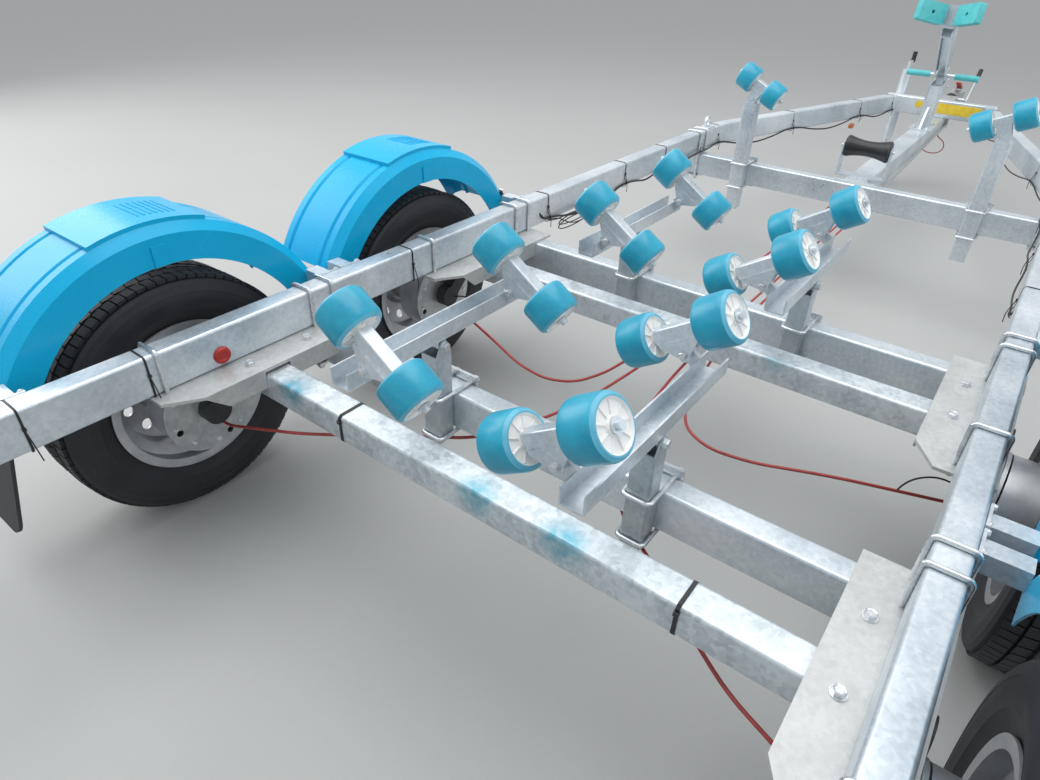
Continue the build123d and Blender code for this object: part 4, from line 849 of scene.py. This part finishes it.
# %% Small bolts round the brake back plates
bolt_circle, bolts_round, small_bolt = 0.104, 9, 0.50
plates = []
for (end, side), centre in hub.items():
    k = sides[side]
    for i in range(bolts_round):
        angle = 2 * pi * (i + 0.5) / bolts_round
        start = (centre.x + sin(angle) * bolt_circle, k * plate_bolt_y, centre.z + cos(angle) * bolt_circle)
        place = landing("brake_backplates", start, (0, k, 0))
        if place:
            plates.append((place, (0, -k, 0), small_bolt))
stamp_rows("backplate_bolts", head_shape, plates, bright_zinc, "frame")
print("back plate bolts", len(plates))

# %% [markdown]
# ## Ties and wiring
# A cable is a fixed length of something flexible, so its line is a NURBS curve that a few given
# points pull into shape, and the tube follows what that curve evaluates to. A loom lies along each
# rail's lower inner edge, held by nylon ties, and sags a little between them. A plug hangs from the
# left one near the winch post, and its spare length is bundled in loose ovals ahead of the front axle.

# %% Where the rails' inner faces run
# Ahead of bend_x the rails run inwards, so what lies against them stands off a little further in Y.
bend_x = 0.918
bend_slope = 0.3075
bend_stretch = 1.05
tie_gap = 0.0004


def rail_face(x):
    """The y of the left rail's inner face."""
    return rail_inner - bend_slope * max(0.0, x - bend_x)


def tie_loop(x, bulge, k=1):
    """The line of a nylon tie round a rail, pushed out round the loom by bulge; k is -1 on the right."""
    lean = sqrt(1 + (bend_slope if x > bend_x else 0.0) ** 2)
    inner = rail_face(x) - tie_gap
    outer = inner + rail_width * lean + 2 * tie_gap
    top, bottom = rail_top + tie_gap, rail_bottom - tie_gap
    line = [(inner, top - 0.010), (inner + 0.003, top - 0.002), (inner + 0.010, top), (outer - 0.010, top),
            (outer - 0.003, top - 0.002), (outer, top - 0.010), (outer, bottom + 0.010),
            (outer - 0.003, bottom + 0.002), (outer - 0.010, bottom), (inner + 0.012, bottom - bulge * 0.2),
            (inner - bulge * 0.4, bottom + 0.001), (inner - bulge, bottom + 0.010),
            (inner - bulge, bottom + 0.020), (inner - bulge * 0.4, bottom + 0.029), (inner, bottom + 0.036)]
    return [(x, k * y, z) for y, z in line]


print("rails bend at", bend_x)

# %% Nylon ties round the rails
loom_ties = [-0.637, -0.073, 0.292, 0.654, 0.881, 1.501, 2.138, 2.480]
right_ties = [-0.390, 0.060, 0.560, 1.230, 1.960, 2.440]
bare_ties = [-2.410, -2.156, -1.338]
left_bulge, right_bulge = 0.0095, 0.0075
tie_width, tie_thickness = 0.0048, 0.0012
lock_half, lock_depth, tail_radius = 0.0036, 0.0056, 0.0014
bm = bmesh.new()
for x, bulge, k in ([(x, left_bulge, 1) for x in loom_ties] + [(x, right_bulge, -1) for x in right_ties]
                    + [(x, 0.0, 1) for x in bare_ties]):
    strap(bm, tie_loop(x, bulge, k), (1, 0, 0), tie_width, tie_thickness)
    inner = rail_face(x)
    lock = sorted((k * (inner - lock_depth), k * (inner - tie_gap)))
    brick(bm, (x - lock_half, lock[0], rail_bottom + 0.052), (x + lock_half, lock[1], rail_bottom + 0.059),
          bevel=0.0008)
    tail = [(x, inner - 0.003, rail_bottom + 0.053), (x + 0.002, inner - 0.010, rail_bottom + 0.030),
            (x + 0.004, inner - 0.015, rail_bottom + 0.004),
            (x + 0.007, inner - 0.012, rail_bottom - 0.022)]
    pipe(bm, cord_line([(a, k * b, c) for a, b, c in tail]), tail_radius, 5)

# %% Nylon ties round the rear axle tube
tube_x = hub["rear", "left"].x + 0.104
tube_half, tube_corner = 0.0366, 0.006
tube_low, tube_high = 0.3865, 0.4595
tube_tie_width, tube_tie_thickness = 0.0078, 0.0014
tube_ties = (0.385, -0.447)
for y in tube_ties:
    back, ahead = tube_x - tube_half, tube_x + tube_half
    loop = [(back, y, tube_low + 0.0055), (back + tube_corner, y, tube_low),
            (ahead - tube_corner, y, tube_low), (ahead, y, tube_low + 0.0055),
            (ahead, y, tube_high - 0.0055), (ahead - tube_corner, y, tube_high),
            (back + tube_corner, y, tube_high), (back, y, tube_high - 0.0055)]
    strap(bm, loop, (0, 1, 0), tube_tie_width, tube_tie_thickness)
    brick(bm, (back - 0.006, y - 0.005, 0.440), (back, y + 0.005, 0.449), bevel=0.001)
finish_mesh(bm, "nylon_ties", black_nylon, "frame")
print("ties", len(loom_ties) + len(right_ties) + len(bare_ties) + len(tube_ties))


# %% Routes of the looms
def held(x, z, off=0.0052, k=1):
    """A point of a loom beside a rail's inner face; k is -1 on the right."""
    return (x, k * (rail_face(x) - off * (bend_stretch if x > bend_x else 1.0)), z)


loom_route = [
    held(-0.690, 0.520, -0.004), held(-0.680, 0.500, 0.006), held(-0.655, 0.490), held(-0.600, 0.486),
    held(-0.490, 0.462, 0.010), held(-0.330, 0.452, 0.008), held(-0.180, 0.472), held(-0.120, 0.489),
    held(-0.040, 0.489), held(0.040, 0.478), held(0.110, 0.463), held(0.190, 0.474), held(0.250, 0.489),
    held(0.340, 0.489), held(0.410, 0.474), held(0.480, 0.462), held(0.550, 0.478),
    held(0.600, 0.488, 0.018), held(0.700, 0.488, 0.018), held(0.760, 0.484, 0.012), held(0.830, 0.489),
    held(0.930, 0.488), held(1.050, 0.462), held(1.200, 0.448), held(1.350, 0.466), held(1.450, 0.489),
    held(1.560, 0.488), held(1.700, 0.460), held(1.850, 0.446), held(2.000, 0.464), held(2.090, 0.488),
    held(2.190, 0.488), held(2.300, 0.464), held(2.400, 0.472), held(2.450, 0.489), held(2.505, 0.490)]
spare_route = [
    held(-0.640, 0.482, 0.013), held(-0.600, 0.474, 0.016), held(-0.520, 0.480, 0.020),
    held(-0.420, 0.474, 0.024), held(-0.372, 0.456, 0.022), held(-0.430, 0.438, 0.018),
    held(-0.540, 0.441, 0.016), held(-0.602, 0.457, 0.020), held(-0.560, 0.478, 0.028),
    held(-0.450, 0.484, 0.032), held(-0.352, 0.470, 0.030), held(-0.346, 0.447, 0.024),
    held(-0.440, 0.427, 0.022), held(-0.560, 0.430, 0.026), held(-0.618, 0.450, 0.032),
    held(-0.585, 0.472, 0.038), held(-0.480, 0.477, 0.040), held(-0.390, 0.466, 0.036),
    held(-0.384, 0.444, 0.030), held(-0.450, 0.435, 0.032), held(-0.530, 0.448, 0.038),
    held(-0.560, 0.462, 0.030), held(-0.600, 0.484, 0.014), held(-0.650, 0.486, 0.012)]
right_points = [
    (-0.450, 0.520, -0.004), (-0.440, 0.500, 0.006), (-0.415, 0.488, 0.005), (-0.340, 0.486, 0.005),
    (-0.220, 0.462, 0.010), (-0.100, 0.455, 0.012), (0.000, 0.480, 0.005), (0.070, 0.487, 0.005),
    (0.160, 0.476, 0.008), (0.300, 0.452, 0.014), (0.430, 0.462, 0.008), (0.520, 0.486, 0.005),
    (0.600, 0.487, 0.017), (0.700, 0.487, 0.018), (0.800, 0.484, 0.012), (0.930, 0.470, 0.006),
    (1.060, 0.462, 0.006), (1.180, 0.486, 0.005), (1.280, 0.486, 0.005), (1.420, 0.458, 0.008),
    (1.600, 0.440, 0.012), (1.780, 0.452, 0.008), (1.900, 0.484, 0.005), (2.020, 0.485, 0.005),
    (2.150, 0.462, 0.006), (2.290, 0.458, 0.006), (2.400, 0.485, 0.005), (2.500, 0.488, 0.005)]
right_route = [held(x, z, off, -1) for x, z, off in right_points]
print("control points", len(loom_route), len(spare_route), len(right_route))


# %% The looms and the breakaway loop
def line_length(line):
    """The length of a line of points, to the millimetre."""
    return round(sum((b - a).length for a, b in zip(line, line[1:])), 3)


cord_facets = 8
looms = (("wiring_loom", loom_route, 0.0040), ("wiring_right", right_route, 0.0030),
         ("spare_wiring", spare_route, 0.0022))
lengths = {}
for name, route, radius in looms:
    line = cord_line(route)
    lengths[name] = line_length(line)
    bm = bmesh.new()
    pipe(bm, line, radius, cord_facets)
    finish_mesh(bm, name, black_nylon, "frame")
loop_route = [(2.600, -0.036, 0.374), (2.600, -0.040, 0.352), (2.602, -0.084, 0.332),
              (2.604, -0.100, 0.292), (2.604, -0.078, 0.256), (2.602, -0.026, 0.246),
              (2.600, 0.024, 0.262), (2.598, 0.038, 0.304), (2.598, 0.014, 0.334),
              (2.600, -0.010, 0.352), (2.600, -0.012, 0.374)]
line = cord_line(loop_route)
bm = bmesh.new()
pipe(bm, line, 0.0030, cord_facets)
brake_loop = finish_mesh(bm, "breakaway_loop", red_sheath, "frame")
lengths["breakaway_loop"] = line_length(line)
print("cord lengths", lengths)

# %% The plug below the left rail
plug_x = 2.066
plug_y = rail_face(plug_x) - 0.014
wires_x = plug_x + 0.024
wires_end = wires_x + 0.104
wire_spreads = ((-0.008, 0.016), (-0.003, -0.006), (0.003, 0.020), (0.008, 0.004))
bm = bmesh.new()
brick(bm, (plug_x - 0.026, plug_y - 0.011, 0.428), (plug_x + 0.026, plug_y + 0.011, 0.450), bevel=0.003)
brick(bm, (plug_x - 0.040, plug_y - 0.0075, 0.4315), (plug_x - 0.026, plug_y + 0.0075, 0.4465),
      bevel=0.002)
finish_mesh(bm, "wiring_plug", orange_plastic, "frame")
bm = bmesh.new()
for i, (spread, drop) in enumerate(wire_spreads):
    route = [(wires_x, plug_y + spread * 0.6, 0.440),
             (wires_x + 0.018, plug_y + spread, 0.444 - drop * 0.4),
             (wires_x + 0.045, plug_y + spread * 1.8 - 0.02, 0.448 - drop),
             (wires_x + 0.072 + 0.006 * i, plug_y + spread - 0.022, 0.458 - drop * 0.6),
             (wires_x + 0.088, plug_y - 0.028, 0.478), (wires_end, rail_face(wires_end) - 0.006, 0.487)]
    pipe(bm, cord_line(route), 0.0017, 6)
finish_mesh(bm, "plug_wires", pale_wire, "frame")
print("plug with", len(wire_spreads), "wires")

# %% Wear wires of the front brakes
bm = bmesh.new()
for k in sides.values():
    route = [(-1.169, k * 0.660, 0.303), (-1.160, k * 0.664, 0.314), (-1.138, k * 0.684, 0.332),
             (-1.112, k * 0.722, 0.340), (-1.098, k * 0.762, 0.330), (-1.100, k * 0.792, 0.318)]
    pipe(bm, cord_line(route), 0.0022, 6)
finish_mesh(bm, "brake_wires", black_nylon, "frame")
print("brake wires", len(sides))

# %% [markdown]
# ## Small trim
# Black plastic caps close the hollow beams against the rain, and a clear marker lamp sits on each front
# guard. Each could be modelled with its clips and cables, but only the outer face shows, so a bevelled
# box does. The lamps are built flat at the origin, and one matrix sets base and lens on the guard's
# curve together.

# %% End caps of the hollow beams
beams = ((-3.000, 0.475), (-1.679, 0.467), (-0.799, 0.467), (0.688, 0.475))
beam_height = 0.100
cap_half, cap_inner, cap_outer, cap_inset, cap_bevel = 0.0292, 0.8185, 0.8225, 0.0008, 0.0012
drawbar_cap = ((2.7885, -0.0492, 0.3758), (2.7930, 0.0492, 0.4742))
bm = bmesh.new()
for beam_x, top in beams:
    for k in (-1, 1):
        end_y = sorted((k * cap_inner, k * cap_outer))
        brick(bm, (beam_x - cap_half, end_y[0], top - beam_height + cap_inset),
              (beam_x + cap_half, end_y[1], top - cap_inset), bevel=cap_bevel)
brick(bm, *drawbar_cap, bevel=cap_bevel)
finish_mesh(bm, "end_caps", black_nylon, "frame")
print("end caps", 2 * len(beams) + 1)

# %% Marker lamps on the front guards
lamp_turn = radians(61.0)
lamp_radius, lamp_y = 0.465, 0.905
lamp_base = ((-0.024, -0.012, -0.001), (0.024, 0.012, 0.008))
lamp_lens = ((-0.020, -0.0095, 0.007), (0.020, 0.0095, 0.018))
for side, k in sides.items():
    centre = hub["front", side]
    spot = (centre.x + sin(lamp_turn) * lamp_radius, k * lamp_y, centre.z + cos(lamp_turn) * lamp_radius)
    place = Matrix.Translation(spot) @ Matrix.Rotation(lamp_turn, 4, "Y")
    bm = bmesh.new()
    brick(bm, *lamp_base, place, 0.002)
    finish_mesh(bm, f"marker_base_{side}", black_nylon, "frame")
    bm = bmesh.new()
    brick(bm, *lamp_lens, place, 0.004)
    finish_mesh(bm, f"marker_lens_{side}", white_lens, "frame")
print("marker lamps", len(sides))

# %% [markdown]
# A moulded roller core is thin plastic stiffened by ribs between its bore and its rim. A bump texture
# would look flat in the side view, where the ribs catch the light, so each rib is a real block: the
# tread's tree again, with its points on a circle round the roller's axis.

# %% Ribs in the roller cores
ribs_round = 9
rib_radius, core_depth, rib_lift = 0.0290, 0.0315, 0.0014
rib_size = (0.0215, 0.0020, 0.0030)
bow_spread, cradle_spread = 0.070, 0.092


def core_ribs(node, spread):
    """Fine radial ribs in the four recessed faces of a roller pair."""
    spin = joint_of[body_of[node]]
    axis = Vector(spin["axis"]).normalized()
    heart = Vector(spin["pos_m"])
    first = axis.orthogonal().normalized()
    places, turns, stretches = [], [], []
    for roller_side in (-1, 1):
        for face_side in (-1, 1):
            out = axis * face_side
            face = heart + axis * (roller_side * spread) + out * core_depth
            for i in range(ribs_round):
                spoke = Matrix.Rotation(2 * pi * i / ribs_round, 3, axis) @ first
                places.append(face + out * rib_lift + spoke * rib_radius)
                turns.append(tuple(Matrix((spoke, out.cross(spoke), out)).transposed().to_euler()))
                stretches.append(rib_size)
    start = points_mesh("core rib points", places, turns, stretches)
    run_tree(blocks, start, {"Block": unit_block, "Finish": roller_core}, node + "_ribs", body_of[node])


pairs = [node for node in dressed if "rollers_" in node]
for node in pairs:
    core_ribs(node, bow_spread if node.startswith("bow_") else cradle_spread)
print("roller pairs with ribbed cores", len(pairs))

# %% [markdown]
# What is left is small and turned: a rubber valve in each rim, whose foot a ray finds on the disc, and
# a red cap on the left rail. The two yellow labels on the head beam stay bare, because a shared part
# carries no words. Fine ribs give grip on the guards' steps, and five nuts hold each wheel.

# %% Valve stems
valve = [(-0.002, 0.0), (-0.002, 0.0075), (0.004, 0.0068), (0.010, 0.0048), (0.026, 0.0042),
         (0.0265, 0.0052), (0.036, 0.0050), (0.0375, 0.0035), (0.0375, 0.0)]
valve_turn, valve_radius, clear_y = radians(40.0), 0.156, 1.2
for (end, side), centre in hub.items():
    k = sides[side]
    start = (centre.x + sin(valve_turn) * valve_radius, k * clear_y,
             centre.z + cos(valve_turn) * valve_radius)
    bm = bmesh.new()
    lathe(bm, valve, landing(f"rim_{end}_{side}", start, (0, -k, 0)), (0, k, 0), 12)
    finish_mesh(bm, f"valve_{end}_{side}", black_nylon, f"wheel_{end}_{side}")
print("valves", len(hub))

# %% Red cap and blank labels
cap = [(0.0, 0.0), (0.0, 0.0215), (0.004, 0.0215), (0.008, 0.0185), (0.0085, 0.012), (0.0055, 0.009),
       (0.0055, 0.0)]
cap_x, cap_z = hub["rear", "left"].x + 0.017, 0.506
head_x = 2.528
label = ((head_x - 0.0007, -0.235, 0.500), (head_x, 0.005, 0.560))
disc = [(0.0, 0.0), (0.0, 0.022), (0.0006, 0.0217), (0.0006, 0.0)]
bm = bmesh.new()
lathe(bm, cap, (cap_x, rail_inner, cap_z), (0, -1, 0), 32)
finish_mesh(bm, "rail_cap", red_plastic, "frame")
bm = bmesh.new()
brick(bm, *label, bevel=0.0003)
lathe(bm, disc, (head_x, 0.113, 0.538), (-1, 0, 0), 32)
finish_mesh(bm, "blank_labels", yellow_film, "frame")
print("cap and labels made")

# %% Ribs on the guards' steps
step_radius, step_offset = 0.475, 0.012
step_start, step_count, step_pitch = 0.006, 7, 0.0145
step_rib = (0.0035, 0.052, 0.0018)
step_rib_y, rib_seat = 0.030, step_radius + 0.0004
places, turns, stretches = [], [], []
for (end, side), centre in hub.items():
    for i in range(step_count):
        angle = (step_start + i * step_pitch) / step_radius
        for across in (-step_rib_y, step_rib_y):
            places.append((centre.x + sin(angle) * rib_seat, centre.y + sides[side] * step_offset + across,
                           centre.z + cos(angle) * rib_seat))
            turns.append((0.0, angle, 0.0))
            stretches.append(step_rib)
start = points_mesh("rib points", places, turns, stretches)
run_tree(blocks, start, {"Block": unit_block, "Finish": guard_plastic}, "guard_ribs", "frame")
print("step ribs", len(places))

# %% Wheel nuts
nuts_round, nut_circle, nut_size, rim_face = 5, 0.056, 1.25, 0.030
for (end, side), centre in hub.items():
    rows = []
    for i in range(nuts_round):
        angle = 2 * pi * i / nuts_round
        place = (centre.x + sin(angle) * nut_circle, centre.y + sides[side] * rim_face,
                 centre.z + cos(angle) * nut_circle)
        rows.append((place, (0, sides[side], 0), nut_size))
    stamp_rows(f"wheel_nuts_{end}_{side}", nut_shape, rows, bright_zinc, f"wheel_{end}_{side}")
print("wheel nuts", nuts_round * len(hub))

# %% [markdown]
# ## Floor, light and camera
# The floor is plain and pale and runs on to the horizon. A wide soft lamp overhead and two weaker
# ones from the sides light the steel without hard glints. The camera stands over the trailer's right
# rear corner and looks forward, down and to the left, from where the photograph was taken.

# %% Floor
floor_half, floor_depth = 30, 0.02
floor_paint = mottled("pale floor", (0.405, 0.41, 0.40), (0.435, 0.44, 0.43), 1.5, 0.02, (0.5, 0.7))
bm = bmesh.new()
brick(bm, (-floor_half, -floor_half, -floor_depth), (floor_half, floor_half, 0.0))
floor_mesh = bpy.data.meshes.new("floor")
bm.to_mesh(floor_mesh)
bm.free()
floor_mesh.materials.append(floor_paint)
floor = bpy.data.objects.new("floor", floor_mesh)
bpy.context.scene.collection.objects.link(floor)
print("floor", 2 * floor_half, "m square")


# %% Soft lamps and sky
def soft_lamp(name, place, target, width, watts):
    """An area lamp that faces a target."""
    data = bpy.data.lights.new(name, "AREA")
    data.shape = "SQUARE"
    data.size = width
    data.energy = watts
    lamp = bpy.data.objects.new(name, data)
    bpy.context.scene.collection.objects.link(lamp)
    lamp.location = place
    lamp.rotation_euler = (Vector(target) - Vector(place)).to_track_quat("-Z", "Y").to_euler()


soft_lamp("overhead", (-0.5, 1.0, 5.5), (0, 0, 0.3), 6.0, 260.0)
soft_lamp("left side", (-2.0, 6.0, 3.0), (0, 0, 0.5), 4.0, 130.0)
soft_lamp("right side", (1.0, -6.0, 2.6), (0, 0, 0.5), 4.0, 70.0)
world = bpy.data.worlds.new("studio")
bpy.context.scene.world = world
world.use_nodes = True
sky = world.node_tree.nodes["Background"]
sky.inputs["Color"].default_value = (0.94, 0.96, 1.0, 1.0)
sky.inputs["Strength"].default_value = 0.75
print("lamps 3, sky strength", round(sky.inputs["Strength"].default_value, 2))

# %% Camera
image_width = 1040
focal_pixels = 688.0
camera_place = (-2.692, -0.670, 1.368)
camera_data = bpy.data.cameras.new("photographer")
camera_data.sensor_width = 36.0
camera_data.lens = focal_pixels / image_width * camera_data.sensor_width
camera_data.clip_end = 200.0
camera = bpy.data.objects.new("photographer", camera_data)
bpy.context.scene.collection.objects.link(camera)
look = Vector((0.671, 0.493, -0.553)).normalized()
right = Vector((0.607, -0.794, 0.028))
right = (right - look * right.dot(look)).normalized()
turned = Matrix((right, right.cross(look), -look)).transposed()
camera.matrix_world = Matrix.Translation(camera_place) @ turned.to_4x4()
bpy.context.scene.camera = camera
bpy.context.scene.view_settings.view_transform = "Standard"
print("camera at", [round(v, 3) for v in camera.location], "lens", round(camera_data.lens, 2), "mm")

# %% Finish
bpy.context.view_layer.update()
